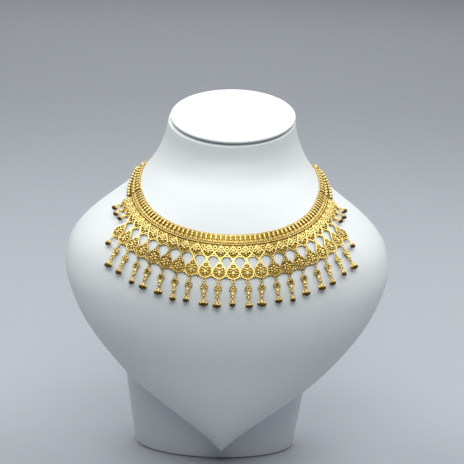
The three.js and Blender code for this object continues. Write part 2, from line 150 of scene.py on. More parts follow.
class BustForm:
    """The bust's smooth surface, which the bust is lofted through and the necklace lies on."""

    lean_aside = math.tan(math.radians(1.0))
    lean_back = math.tan(math.radians(17.0))
    level_below = 205 * MM  # the sections lean more and more above this height
    row_step = 0.5 * MM  # from section to section
    softness = 4 * MM  # evens out the bends where two sections of the table meet
    probe = 0.01 * MM  # a small step, which finds the surface's slope
    lean_rounds = 8  # to find which section a leaning point lies on
    walk_step = 2 * MM
    settle_rounds = 2  # back onto the surface, after each step of a walk

    def __init__(self, offset: float) -> None:
        """Evens the table out into closely spaced sections.

        Args:
            offset: y of the neck's middle in the frame.
        """
        table = np.array([astuple(row) for row in BUST_SECTIONS]) * MM
        self.offset = offset
        rows = round((table[-1, 0] - table[0, 0]) / self.row_step)
        self.heights = np.linspace(table[0, 0], table[-1, 0], rows + 1)
        drawn = self._run_through(table[:, 0], table[:, 1:])
        reach = round(3 * self.softness / self.row_step)
        weights = np.exp(-0.5 * (np.arange(-reach, reach + 1) * self.row_step / self.softness) ** 2)
        longer = np.pad(drawn, ((reach, reach), (0, 0)), mode="reflect", reflect_type="odd")
        even = [np.convolve(column, weights / weights.sum(), "valid") for column in longer.T]
        self.columns = np.column_stack(even)

    def _run_through(self, known: np.ndarray, values: np.ndarray) -> np.ndarray:
        """Draws a smooth run through each column of a table, without overshoot between its rows.

        Args:
            known: the table's heights.
            values: its columns.

        Returns:
            The columns at this form's heights.
        """
        slopes = np.diff(values, axis=0) / np.diff(known)[:, None]
        before = np.vstack([slopes[:1], slopes])
        after = np.vstack([slopes, slopes[-1:]])
        same_way = before * after > 0
        tangents = np.where(same_way, 2 * before * after / np.where(same_way, before + after, 1.0), 0.0)
        row = np.clip(np.searchsorted(known, self.heights, side="right") - 1, 0, len(known) - 2)
        span = known[row + 1] - known[row]
        t = ((self.heights - known[row]) / span)[:, None]
        rise = t * t * (3 - 2 * t)
        bend = tangents[row] * t * (1 - t) ** 2 - tangents[row + 1] * t * t * (1 - t)
        return values[row] * (1 - rise) + values[row + 1] * rise + span[:, None] * bend

    def section(self, heights: np.ndarray) -> np.ndarray:
        """Returns columns of half width, line, front and back at the heights."""
        return np.stack([np.interp(heights, self.heights, column) for column in self.columns.T])

    def lean_rise(self, x: np.ndarray, y: np.ndarray, heights: np.ndarray) -> np.ndarray:
        """Returns how much higher than their sections points lie: most of all at the top of the neck."""
        t = np.clip((heights - self.level_below) / (self.heights[-1] - self.level_below), 0, 1)
        return (x * self.lean_aside + y * self.lean_back) * t * t * (3 - 2 * t)

    def points(self, heights: np.ndarray, angles: np.ndarray) -> np.ndarray:
        """Returns points of the surface.

        Args:
            heights: the sections' heights in the table.
            angles: 0 is the front and a quarter turn is +X.

        Returns:
            A row for each point.
        """
        half, line, front, back = self.section(heights)
        x = half * np.sin(angles)
        y = line - np.where(np.cos(angles) > 0, front, back) * np.cos(angles)
        return np.column_stack([x, y + self.offset, heights + self.lean_rise(x, y, heights)])

    def angles(self, points: np.ndarray, height: float) -> np.ndarray:
        """Finds the angles of points that lie on one section.

        Args:
            points: a row for each point.
            height: the section's height.

        Returns:
            The angles, as for points.
        """
        half, line, front, back = self.section(np.full(len(points), height))
        ahead = line + self.offset - points[:, 1]
        return np.arctan2(points[:, 0] / half, ahead / np.where(ahead > 0, front, back))

    def level(self, points: np.ndarray) -> np.ndarray:
        """Measures on which side of the surface points lie.

        Args:
            points: a row for each point.

        Returns:
            A number for each, below 0 inside the bust and 0 on its surface.
        """
        x, y, z = points.T
        y = y - self.offset
        heights = z
        for _ in range(self.lean_rounds):
            heights = z - self.lean_rise(x, y, heights)
        half, line, front, back = self.section(heights)
        behind = y - line
        return (x / half) ** 2 + (behind / np.where(behind < 0, front, back)) ** 2 - 1

    def gradient(self, points: np.ndarray) -> np.ndarray:
        """Returns the steepest way out of the bust at each point."""
        rises = [self.level(points + move) - self.level(points - move) for move in np.eye(3) * self.probe]
        return np.column_stack(rises) / (2 * self.probe)

    def walk(self, start: np.ndarray, heading: np.ndarray, distance: float) -> Seats:
        """Walks straight ahead over the bust from each point.

        Args:
            start: a row for each point on the surface.
            heading: the way ahead from each.
            distance: the length of the walk.

        Returns:
            The seats where the walks end, with the way ahead as their way down.
        """
        steps = max(1, math.ceil(abs(distance) / self.walk_step))
        point, ahead, out = start, heading, heading
        for _ in range(steps):
            point = point + ahead * (distance / steps)
            for _ in range(self.settle_rounds):
                slope = self.gradient(point)
                point = point - slope * (self.level(point) / (slope**2).sum(axis=1))[:, None]
            out = unit(self.gradient(point))
            ahead = unit(ahead - out * (ahead * out).sum(axis=1, keepdims=True))
        return Seats(point, ahead, out)


@dataclass(frozen=True)
class BibLayout:
    """Where the rows of the bib lie: distances along its inner edge, and down the bust from that edge."""

    units: int = 27
    bare_ends: int = 3
    pitch: float = 7.65 * MM
    strap: float = 40 * MM
    lattice_top: float = 9.5 * MM
    lattice_cross: float = 15.8 * MM
    lattice_notch: float = 18.0 * MM
    lattice_low: float = 20.6 * MM
    rosette: float = 13.7 * MM
    pear_top: float = 21.0 * MM
    pear_length: float = 13.9 * MM
    pear_half: float = 5.0 * MM
    drop_length: float = 19.4 * MM
    short_length: float = 9.0 * MM
    end_length: float = 6.0 * MM

    @property
    def half(self) -> float:
        """Half the length of the bib's inner edge."""
        return self.units * self.pitch / 2

    def along(self, number: float) -> float:
        """Returns how far along the inner edge a unit lies, counted from 0 at the viewer's left."""
        return (number - (self.units - 1) / 2) * self.pitch


class NecklaceLie:
    """How the necklace lies on the bust. Its inner edge is where a sloping plane meets the surface."""

    plane_height = 213.4 * MM
    plane_slope = math.tan(math.radians(16.5))
    slipped = 2.9 * MM  # round the neck, to the viewer's right
    edge_samples = 720
    search = (165 * MM, 250 * MM)  # the heights between which the inner edge is looked for
    halvings = 40
    tangent_step = 0.1 * MM
    cell = 1 * MM
    depth = 24  # cells down from the inner edge
    pear_sag = 0.5  # how far the pears' lines turn towards the steepest fall
    drop_swing = 3.0  # degrees to either side
    swing_rate = 2.4  # from drop to drop
    drop_top_lift = 1.8 * MM
    bell_middle = 1.8 * MM  # up from its lower end
    bell_reach = 2.4 * MM

    def __init__(self, form: BustForm, layout: BibLayout) -> None:
        """Finds the inner edge and the net of cells below it.

        Args:
            form: the surface that the necklace lies on.
            layout: where the rows of the bib lie.
        """
        self.form = form
        self.layout = layout
        angles = np.linspace(0, 2 * math.pi, self.edge_samples + 1)
        low, high = (np.full(len(angles), value) for value in self.search)
        for _ in range(self.halvings):
            middle = (low + high) / 2
            p = form.points(middle, angles)
            above = p[:, 2] > self.plane_height + (p[:, 1] - form.offset) * self.plane_slope
            high = np.where(above, middle, high)
            low = np.where(above, low, middle)
        self.edge = form.points(low, angles)
        steps = np.linalg.norm(np.diff(self.edge, axis=0), axis=1)
        self.reach = np.concatenate([[0.0], np.cumsum(steps)])
        self.length = float(self.reach[-1])
        self.columns = round(self.length / self.cell)
        rows = [self.edge_seats(np.arange(self.columns) * self.length / self.columns)]
        for _ in range(self.depth):
            rows.append(form.walk(rows[-1].point, rows[-1].down, self.cell))
        self.net = np.stack([row.point for row in rows])
        self.net_out = np.stack([row.out for row in rows])

    def edge_seats(self, along: np.ndarray) -> Seats:
        """Finds seats on the inner edge.

        Args:
            along: their distances along it from the front.

        Returns:
            The seats.
        """
        before, point, after = (self._edge_points(along + i * self.tangent_step) for i in (-1, 0, 1))
        out = unit(self.form.gradient(point))
        return Seats(point, unit(np.cross(unit(after - before), out)), out)

    def _edge_points(self, along: np.ndarray) -> np.ndarray:
        """Returns points of the inner edge at distances along it from the front."""
        reach = (along + self.slipped) % self.length
        return np.column_stack([np.interp(reach, self.reach, axis) for axis in self.edge.T])

    def drape(self, points: np.ndarray) -> np.ndarray:
        """Lays flat points over the bust.

        Args:
            points: rows of x along the necklace, y up to the neck and z out of the bust.

        Returns:
            The points in the frame.
        """
        across = (points[:, 0] % self.length) / self.length * self.columns
        down = -points[:, 1] / self.cell
        left = np.floor(across).astype(int)
        right = (left + 1) % self.columns
        top = np.clip(np.floor(down).astype(int), 0, self.depth - 1)
        u, v = (across - left)[:, None], (down - top)[:, None]
        left %= self.columns

        def mixed(net: np.ndarray) -> np.ndarray:
            """Takes values from between the cells' corners.

            Args:
                net: the values at the corners.

            Returns:
                The values at the points.
            """
            upper = net[top, left] * (1 - u) + net[top, right] * u
            lower = net[top + 1, left] * (1 - u) + net[top + 1, right] * u
            return upper * (1 - v) + lower * v

        return mixed(self.net) + unit(mixed(self.net_out)) * points[:, 2:3]

    def seats(self, along: Sequence[float], down: float) -> Seats:
        """Returns the seats at distances along the inner edge and down from it."""
        start = self.edge_seats(np.array(along, float))
        return self.form.walk(start.point, start.down, down)

    def _onwards(self, seats: Seats, share: float, swings: np.ndarray, distance: float) -> Seats:
        """Walks on from seats, on ways that turn downhill and swing aside.

        Args:
            seats: where the walks start.
            share: how far the ways turn towards the steepest fall, from 0 to 1.
            swings: the angle that each way swings aside by.
            distance: the length of the walks.

        Returns:
            The seats where the walks end.
        """
        fall = np.array([[0.0, 0.0, -1.0]])
        steepest = unit(fall - seats.out * (seats.out @ fall.T))
        heading = unit(seats.down * (1 - share) + steepest * share)
        aside = np.cross(seats.out, heading)
        heading = heading * np.cos(swings)[:, None] + aside * np.sin(swings)[:, None]
        return self.form.walk(seats.point, heading, distance)

    def pear_seats(self, numbers: Sequence[float], down: float) -> Seats:
        """Finds places on the lines of units under the lattice, where the pears sag a little.

        Args:
            numbers: the units.
            down: distance down from the inner edge.

        Returns:
            The seats.
        """
        start = self.seats([self.layout.along(n) for n in numbers], self.layout.lattice_low)
        still = np.zeros(len(numbers))
        return self._onwards(start, self.pear_sag, still, down - self.layout.lattice_low)

    def drop_frame(self, number: int, down: float, length: float) -> Matrix:
        """Finds how a drop lies: straight from its ring to its bell, which rests on the bust.

        Args:
            number: the unit that the drop hangs from.
            down: where it starts, from the inner edge.
            length: its length.

        Returns:
            The matrix with its origin at the ring and its y axis up the drop.
        """
        swings = np.radians([self.drop_swing * math.sin(self.swing_rate * number)])
        start = self.pear_seats([number], down)
        top, bell = (self._onwards(start, 1.0, swings, d) for d in (0.0, length - self.bell_middle))
        ring = Vector((top.point + top.out * self.drop_top_lift)[0])
        foot = Vector((bell.point + bell.out * (GAP + self.bell_reach))[0])
        up = (ring - foot).normalized()
        out = Vector(bell.out[0])
        out = (out - up * out.dot(up)).normalized()
        return frame_of(up.cross(out), up, out, ring)


# ---------------------------------------------------------------- the bench
def deselect() -> None:
    """Leaves nothing selected, in object mode."""
    if bpy.context.object and bpy.context.object.mode != "OBJECT":
        bpy.ops.object.mode_set(mode="OBJECT")
    bpy.ops.object.select_all(action="DESELECT")


def take(piece: Piece) -> Piece:
    """Selects one piece alone and makes it the active one.

    Args:
        piece: any piece.

    Returns:
        The same piece.
    """
    deselect()
    piece.select_set(True)
    bpy.context.view_layer.objects.active = piece
    return piece


@contextmanager
def editing(piece: Piece) -> Iterator[Piece]:
    """Opens a piece in edit mode with all of it selected, and closes it again.

    Args:
        piece: the piece to shape.

    Returns:
        The same piece, open while the block runs.
    """
    take(piece)
    bpy.ops.object.mode_set(mode="EDIT")
    bpy.ops.mesh.select_all(action="SELECT")
    yield piece
    bpy.ops.object.mode_set(mode="OBJECT")


class Part(Enum):
    """The parts of a mesh that a test picks out, each with its select mode."""

    FACES = "FACE"
    EDGES = "EDGE"
    VERTS = "VERT"


def select(piece: Piece, part: Part, test: Callable[[Element], bool]) -> None:
    """Selects, in edit mode, the faces, edges or vertices that pass a test.

    Args:
        piece: the mesh in edit mode.
        part: what is picked out.
        test: tells whether one of them is selected.
    """
    bpy.ops.mesh.select_mode(type=part.value)
    bpy.ops.mesh.select_all(action="DESELECT")
    mesh = bmesh.from_edit_mesh(piece.data)
    for element in getattr(mesh, part.name.lower()):
        element.select_set(test(element))
    if part is Part.VERTS:
        mesh.select_flush_mode()
    bmesh.update_edit_mesh(piece.data)


def extrude(move: tuple[float, float, float] = (0, 0, 0)) -> None:
    """Extrudes what is selected and moves it."""
    bpy.ops.mesh.extrude_region_move(TRANSFORM_OT_translate={"value": move})


def with_modifier(piece: Piece, kind: str, **settings: object) -> Piece:
    """Adds a modifier to a piece and applies it.

    Args:
        piece: the piece to change.
        kind: the modifier's type.
        settings: its properties.

    Returns:
        The changed piece.
    """
    take(piece)
    modifier = piece.modifiers.new(kind.title(), kind)
    for name, value in settings.items():
        setattr(modifier, name, value)
    bpy.ops.object.modifier_apply(modifier=modifier.name)
    return piece


def points_of(piece: Piece) -> np.ndarray:
    """Reads a piece's vertices.

    Args:
        piece: the piece.

    Returns:
        A row for each vertex.
    """
    points = np.zeros(len(piece.data.vertices) * 3, np.float32)
    piece.data.vertices.foreach_get("co", points)
    return points.reshape(-1, 3).astype(float)


def move_points(piece: Piece, points: np.ndarray) -> Piece:
    """Moves a piece's vertices to new places.

    Args:
        piece: the piece.
        points: a row for each vertex.

    Returns:
        The same piece.
    """
    piece.data.vertices.foreach_set("co", points.astype(np.float32).ravel())
    piece.data.update()
    return piece


def newest(name: str) -> Piece:
    """Names the piece that was just added.

    Args:
        name: its name.

    Returns:
        The piece.
    """
    piece = bpy.context.active_object
    piece.name = name
    return piece


def marked(piece: Piece, low: float, high: float, top: float = 1.0) -> Piece:
    """Writes how far vertices stand out, which paints shade on their lower parts: from an edge at the height
    low up to top at the height high.
    """
    heights = points_of(piece)[:, 2]
    return mark(piece, EDGE + np.clip((heights - low) / (high - low), 0, 1) ** FADE * (top - EDGE))


def mark(piece: Piece, values: np.ndarray) -> Piece:
    """Writes a relief for each of a piece's vertices; a low relief paints shade into the gold.

    Args:
        piece: the piece.
        values: the relief of each vertex.

    Returns:
        The same piece.
    """
    attribute = piece.data.attributes.get(RELIEF_SHADE) or piece.data.attributes.new(RELIEF_SHADE, "FLOAT", "POINT")
    attribute.data.foreach_set("value", values.astype(np.float32))
    return piece


def evenly_marked(piece: Piece, value: float) -> Piece:
    """Writes one relief for a whole piece."""
    return mark(piece, np.full(len(piece.data.vertices), value))


def copies(model: Piece, places: Sequence[Matrix]) -> list[Piece]:
    """Copies a model to each place, each copy with its own mesh, and takes the model away.

    Args:
        model: the piece to copy.
        places: where the copies go.

    Returns:
        The copies.
    """
    made = []
    for place in places:
        copy = model.copy()
        copy.data = model.data.copy()
        copy.data.transform(place)
        bpy.context.scene.collection.objects.link(copy)
        made.append(copy)
    bpy.data.objects.remove(model)
    return made


def joined(parts: Sequence[Piece], name: str) -> Piece:
    """Joins parts into one piece.

    Args:
        parts: the pieces to join.
        name: the name of the whole.

    Returns:
        The whole.
    """
    deselect()
    for part in parts:
        part.select_set(True)
    bpy.context.view_layer.objects.active = parts[0]
    if len(parts) > 1:
        bpy.ops.object.join()
    return newest(name)


def at(x: float, y: float, z: float = 0.0, turn: float = 0.0, scale: float = 1.0) -> Matrix:
    """Returns a place on the bench, turned about z in degrees and scaled."""
    turned = Matrix.Rotation(math.radians(turn), 4, "Z")
    return Matrix.Translation((x, y, z)) @ turned @ Matrix.Scale(scale, 4)


def spread(model: Piece, spots: Iterable[Sequence[float]]) -> list[Piece]:
    """Copies a model to spots on the bench, each with the numbers that at takes."""
    return copies(model, [at(*spot) for spot in spots])


def in_row(model: Piece, xs: Iterable[float], down: float, height: float) -> list[Piece]:
    """Copies a model to places along the necklace, all at one distance below its inner edge."""
    return spread(model, [(x, -down, height) for x in xs])


def polar(reach: float, degrees: float) -> tuple[float, float]:
    """Returns the flat point at a distance and an angle from the origin."""
    return reach * math.cos(math.radians(degrees)), reach * math.sin(math.radians(degrees))


def grain(radius: float, height: float, fine: int = 2) -> Piece:
    """Makes a grain of gold: a ball pressed to a height and flattened where it is soldered down.

    Args:
        radius: its radius.
        height: how far it stands over its middle.
        fine: how finely the ball is divided.

    Returns:
        The grain, with its flat face under the origin.
    """
    bpy.ops.mesh.primitive_ico_sphere_add(subdivisions=fine, radius=radius)
    piece = newest("grain")
    with editing(piece):
        bpy.ops.transform.resize(value=(1, 1, height / radius))
        floor = (0, 0, -0.35 * height)
        bpy.ops.mesh.bisect(plane_co=floor, plane_no=(0, 0, 1), clear_inner=True, use_fill=True)
    return marked(piece, -0.15 * height, 0.75 * height)


def petal(length: float, width: float, height: float) -> Piece:
    """Makes a petal that lies on +x from the origin, fuller at its outer end.

    Args:
        length: from its root to its outer end.
        width: across its outer end.
        height: how far it stands over its middle.

    Returns:
        The petal.
    """
    piece = grain(1 * MM, 1 * MM)
    with editing(piece):
        bpy.ops.transform.resize(value=(length / (2 * MM), width / (2 * MM), height / MM))
        bpy.ops.transform.translate(value=(length / 2, 0, 0))
        select(piece, Part.VERTS, lambda vert: vert.co.x < 0.35 * length)
        bpy.ops.transform.resize(value=(1, 0.55, 0.8), center_override=(0, 0, 0))
    return piece


def ring(radius: float, gauge: float, sides: int = 14) -> Piece:
    """Makes a ring of round wire, lying flat and pressed a little oval as a worn link is.

    Args:
        radius: from its middle to the middle of the wire.
        gauge: the wire's radius.
        sides: number of steps round it.

    Returns:
        The ring.
    """
    bpy.ops.mesh.primitive_torus_add(
        major_radius=radius, minor_radius=gauge, major_segments=sides, minor_segments=6
    )
    piece = newest("ring")
    with editing(piece):
        bpy.ops.transform.resize(value=(0.96, 1.04, 1))
    return evenly_marked(piece, PROUD)


def turned_shape(profile: Sequence[tuple[float, float]], sides: int = 16) -> Piece:
    """Spins a profile of radius and y round the y axis, as on a lathe.

    Args:
        profile: points from one end on the axis to the other.
        sides: number of steps round the axis.

    Returns:
        The turned piece.
    """
    bpy.ops.mesh.primitive_plane_add(size=MM)
    piece = newest("turned")
    with editing(piece):
        bpy.ops.mesh.delete(type="VERT")
        mesh = bmesh.from_edit_mesh(piece.data)
        rim = [mesh.verts.new((radius, y, 0)) for radius, y in profile]
        for start, end in zip(rim, rim[1:]):
            mesh.edges.new((start, end))
        bmesh.update_edit_mesh(piece.data)
        bpy.ops.mesh.select_all(action="SELECT")
        bpy.ops.mesh.spin(steps=sides, angle=2 * math.pi, center=(0, 0, 0), axis=(0, 1, 0))
        bpy.ops.mesh.select_all(action="SELECT")
        bpy.ops.mesh.remove_doubles(threshold=WELD)
        bpy.ops.mesh.normals_make_consistent(inside=False)
    reach = max(radius for radius, _y in profile)
    return marked(piece, -0.8 * reach, 0.4 * reach)


def bar(length: float, width: float, height: float, round_off: float) -> Piece:
    """Makes a bar along y with rounded upper edges, its foot on the bench.

    Args:
        length: its length.
        width: its width.
        height: its height.
        round_off: the radius of its upper edges.

    Returns:
        The bar.
    """
    bpy.ops.mesh.primitive_cube_add(size=1.0)
    piece = newest("bar")
    with editing(piece):
        bpy.ops.transform.resize(value=(width, length, height))
        bpy.ops.transform.translate(value=(0, 0, height / 2))
        select(piece, Part.EDGES, lambda edge: min(v.co.z for v in edge.verts) > 0.9 * height)
        bpy.ops.mesh.bevel(offset=round_off, segments=3, affect="EDGES")
    return marked(piece, 0.1 * height, 0.9 * height)


def strip(length: float, low: float, high: float, top: float, cuts: int) -> Piece:
    """Makes a thin strip along x for draping, its underside on the bench.

    Args:
        length: its length, from the middle both ways.
        low: its lower edge, as a distance down.
        high: its upper edge, as a distance down.
        top: its thickness.
        cuts: how many lengths it is divided into, so that it bends smoothly.

    Returns:
        The strip.
    """
    bpy.ops.mesh.primitive_cube_add(size=1.0)
    piece = newest("strip")
    step = length / cuts
    with editing(piece):
        bpy.ops.transform.resize(value=(step, low - high, top))
        bpy.ops.transform.translate(value=((step - length) / 2, -(low + high) / 2, top / 2))
        for _ in range(cuts - 1):
            end = max(v.co.x for v in bmesh.from_edit_mesh(piece.data).verts) - NEAR
            select(piece, Part.FACES, lambda face, end=end: face.calc_center_median().x > end)
            extrude((step, 0, 0))
    return evenly_marked(piece, RECESS)


def wire(points: Sequence[Sequence[float]], radius: float, closed: bool = False) -> Piece:
    """Draws a round wire through points.

    Args:
        points: the points of its middle line.
        radius: its radius.
        closed: whether its end meets its start.

    Returns:
        The wire.
    """
    curve = bpy.data.curves.new("wire", "CURVE")
    curve.dimensions = "3D"
    curve.bevel_depth = radius
    curve.bevel_resolution = 1
    curve.use_fill_caps = not closed
    spline = curve.splines.new("POLY")
    spline.points.add(len(points) - 1)
    for point, place in zip(spline.points, points):
        point.co = (*place, 1.0)
    spline.use_cyclic_u = closed
    piece = bpy.data.objects.new("wire", curve)
    bpy.context.scene.collection.objects.link(piece)
    take(piece)
    bpy.ops.object.convert(target="MESH")
    return evenly_marked(newest("wire"), PROUD)


# ---------------------------------------------------------------- finishes
class Slot(Enum):
    """The record's material slots."""

    GOLD = "gold"
    BUST = "bust_skin"
    STAND = "bust_stand"


class Nodes:
    """Places and links the nodes of one tree."""

    def __init__(self, tree: bpy.types.NodeTree) -> None:
        """Starts with an empty tree."""
        self.tree = tree
        tree.nodes.clear()

    def add(self, kind: str, inputs: Inputs | None = None, **settings: object) -> bpy.types.Node:
        """Adds a node.

        Args:
            kind: its type.
            inputs: its input sockets: a socket is linked, and anything else is the socket's own value.
            settings: its properties.

        Returns:
            The node.
        """
        node = self.tree.nodes.new(kind)
        for name, value in settings.items():
            setattr(node, name, value)
        for name, value in (inputs or {}).items():
            if isinstance(value, bpy.types.NodeSocket):
                self.tree.links.new(value, node.inputs[name])
            else:
                node.inputs[name].default_value = value
        return node


def new_group(
    name: str, inputs: dict[str, tuple[str, object]], outputs: dict[str, str]
) -> bpy.types.NodeTree:
    """Makes an empty node group.

    Args:
        name: its name.
        inputs: socket name to socket type and default value.
        outputs: socket name to socket type.

    Returns:
        The group's tree.
    """
    group = bpy.data.node_groups.new(name, "ShaderNodeTree")
    for socket, (kind, value) in inputs.items():
        made = group.interface.new_socket(socket, in_out="INPUT", socket_type=f"NodeSocket{kind}")
        if value is not None:
            made.default_value = value
    for socket, kind in outputs.items():
        group.interface.new_socket(socket, in_out="OUTPUT", socket_type=f"NodeSocket{kind}")
    return group


def surface_group() -> bpy.types.NodeTree:
    """Builds the group that gives any surface its fine relief and its uneven tone.

    Returns:
        A group with outputs Tone, near 1 and uneven over the surface, and Height for a Bump node.
    """
    group = new_group(
        "fine_surface",
        {
            "Vector": ("Vector", None),
            "Grain": ("Float", 1000.0),
            "Clouds": ("Float", 20.0),
            "Uneven": ("Float", 0.1),
        },
        {"Tone": "Float", "Height": "Float"},
    )
    nodes = Nodes(group)
    given = nodes.add("NodeGroupInput").outputs
    noise = {"Detail": 3.0, "Roughness": 0.6}
    fine = nodes.add("ShaderNodeTexNoise", {"Vector": given["Vector"], "Scale": given["Grain"], **noise})
    broad = nodes.add("ShaderNodeTexNoise", {"Vector": given["Vector"], "Scale": given["Clouds"], **noise})
    centred = nodes.add("ShaderNodeMath", {0: broad.outputs["Fac"], 1: 0.5}, operation="SUBTRACT")
    tone = nodes.add(
        "ShaderNodeMath", {0: centred.outputs[0], 1: given["Uneven"], 2: 1.0}, operation="MULTIPLY_ADD"
    )
    nodes.add("NodeGroupOutput", {"Tone": tone.outputs[0], "Height": fine.outputs["Fac"]})
    return group


@dataclass(frozen=True, kw_only=True)
class Finish(ABC):
    """A surface with a fine grain and a slightly uneven tone.

    Attributes:
        name: the material's name.
        grain: how many grains lie on a metre.
        clouds: how many lighter and darker patches lie on a metre.
        uneven: how much the tone differs from patch to patch.
        strength: how strongly the grain shows.
        bump: how high the grain stands.
    """

    name: str
    grain: float
    clouds: float
    uneven: float
    strength: float
    bump: float

    def material(self, surface: bpy.types.NodeTree) -> bpy.types.Material:
        """Builds the material.

        Args:
            surface: the shared surface group.

        Returns:
            The material, with the group in it.
        """
        material = bpy.data.materials.new(self.name)
        material.use_nodes = True
        nodes = Nodes(material.node_tree)
        place = nodes.add("ShaderNodeTexCoord").outputs["Object"]
        fine = nodes.add(
            "ShaderNodeGroup",
            {"Vector": place, "Grain": self.grain, "Clouds": self.clouds, "Uneven": self.uneven},
            node_tree=surface,
        )
        bump = nodes.add(
            "ShaderNodeBump",
            {"Height": fine.outputs["Height"], "Strength": self.strength, "Distance": self.bump},
        )
        look = self.look(nodes, fine.outputs["Tone"])
        shader = nodes.add("ShaderNodeBsdfPrincipled", {**look, "Normal": bump.outputs[0]})
        nodes.add("ShaderNodeOutputMaterial", {"Surface": shader.outputs[0]})
        return material

    @abstractmethod
    def look(self, nodes: Nodes, tone: bpy.types.NodeSocket) -> Inputs:
        """Makes what differs from finish to finish.

        Args:
            nodes: the material's nodes.
            tone: the surface's uneven tone.

        Returns:
            The shader's inputs for its colour, its roughness and whether it is metal.
        """


@dataclass(frozen=True, kw_only=True)
class GoldFinish(Finish):
    """Yellow gold, bright where it stands out, with shade painted into its colour: deeper in its recesses
    and brown in its pits.
    """

    name: str = "yellow_gold"
    grain: float = 2600.0
    clouds: float = 160.0
    uneven: float = 0.5
    strength: float = 0.6
    bump: float = 0.03 * MM
    bright: Colour = (0.88, 0.70, 0.27, 1.0)
    # painted shade: the tone of the recesses and the brown of the pits
    recess_shade: Colour = (0.45, 0.28, 0.035, 1.0)
    pit_shade: Colour = (0.085, 0.045, 0.008, 1.0)
    recess_shade_at: float = 0.35  # the relief at which the painted recess shade lies
    roughness: tuple[float, float] = (0.46, 0.27)  # in the recesses and on what stands out

    def look(self, nodes: Nodes, tone: bpy.types.NodeSocket) -> Inputs:
        """Makes a metal whose roughness follows the relief and whose colour paints shade where the relief is
        low.

        Args:
            nodes: the material's nodes.
            tone: the surface's uneven tone.

        Returns:
            The shader's inputs.
        """
        relief = nodes.add("ShaderNodeAttribute", attribute_name=RELIEF_SHADE).outputs["Fac"]
        light = nodes.add("ShaderNodeMath", {0: relief, 1: tone}, operation="MULTIPLY").outputs[0]
        ramp = nodes.add("ShaderNodeValToRGB", {"Fac": light})
        stops = ramp.color_ramp.elements
        stops[0].color, stops[1].color = self.pit_shade, self.bright
        stops.new(self.recess_shade_at).color = self.recess_shade
        dull, shiny = self.roughness
        rough = nodes.add("ShaderNodeMapRange", {"Value": light, 1: 0.0, 2: 1.0, 3: dull, 4: shiny})
        return {"Base Color": ramp.outputs["Color"], "Roughness": rough.outputs[0], "Metallic": 1.0}


@dataclass(frozen=True, kw_only=True)
class SatinFinish(Finish):
    """A smooth pale skin with a fine grain."""

    colour: Colour
    grain: float = 1500.0
    clouds: float = 9.0
    uneven: float = 0.12
    strength: float = 0.5
    bump: float = 0.04 * MM
    roughness: float = 0.5

    def look(self, nodes: Nodes, tone: bpy.types.NodeSocket) -> Inputs:
        """Makes the skin's own colour and roughness a little uneven.

        Args:
            nodes: the material's nodes.
            tone: the surface's uneven tone.

        Returns:
            The shader's inputs.
        """
        shade = nodes.add("ShaderNodeCombineColor", {"Red": tone, "Green": tone, "Blue": tone})
        colour = nodes.add(
            "ShaderNodeMix",
            {0: 1.0, 6: self.colour, 7: shade.outputs[0]},
            data_type="RGBA",
            blend_type="MULTIPLY",
        )
        rough = nodes.add("ShaderNodeMath", {0: tone, 1: self.roughness}, operation="MULTIPLY")
        return {"Base Color": colour.outputs[2], "Roughness": rough.outputs[0]}


class Finishes:
    """The materials of the whole object, each built once."""

    def __init__(self) -> None:
        """Builds the shared group and then each material with it."""
        surface = surface_group()
        self.materials = {
            Slot.GOLD: GoldFinish().material(surface),
            # a white skin; its cool green tint is painted light, standing in for the bounce that tints its
            # shade
            Slot.BUST: SatinFinish(name="white_skin", colour=(0.785, 0.83, 0.825, 1.0)).material(surface),
            Slot.STAND: SatinFinish(name="white_stand", colour=(0.74, 0.77, 0.79, 1.0)).material(surface),
        }

    def dress(self, piece: Piece, slot: Slot, *nodes: str, smooth: float = 40.0) -> Piece:
        """Finishes a piece: its shading, its material, what it rides on and what it stands for.

        Args:
            piece: the finished mesh, in its place.
            slot: its material slot.
            nodes: the solids that it stands for.
            smooth: edges flatter than this angle are shaded smooth.

        Returns:
            The piece.
        """
        take(piece)
        bpy.ops.object.shade_smooth_by_angle(angle=math.radians(smooth))
        piece.data.materials.clear()
        piece.data.materials.append(self.materials[slot])
        piece.data.polygons.foreach_set("material_index", np.zeros(len(piece.data.polygons), np.int32))
        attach(piece, "root")
        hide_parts(*nodes)
        LOG.info("%s: %d faces", piece.name, len(piece.data.polygons))
        return piece


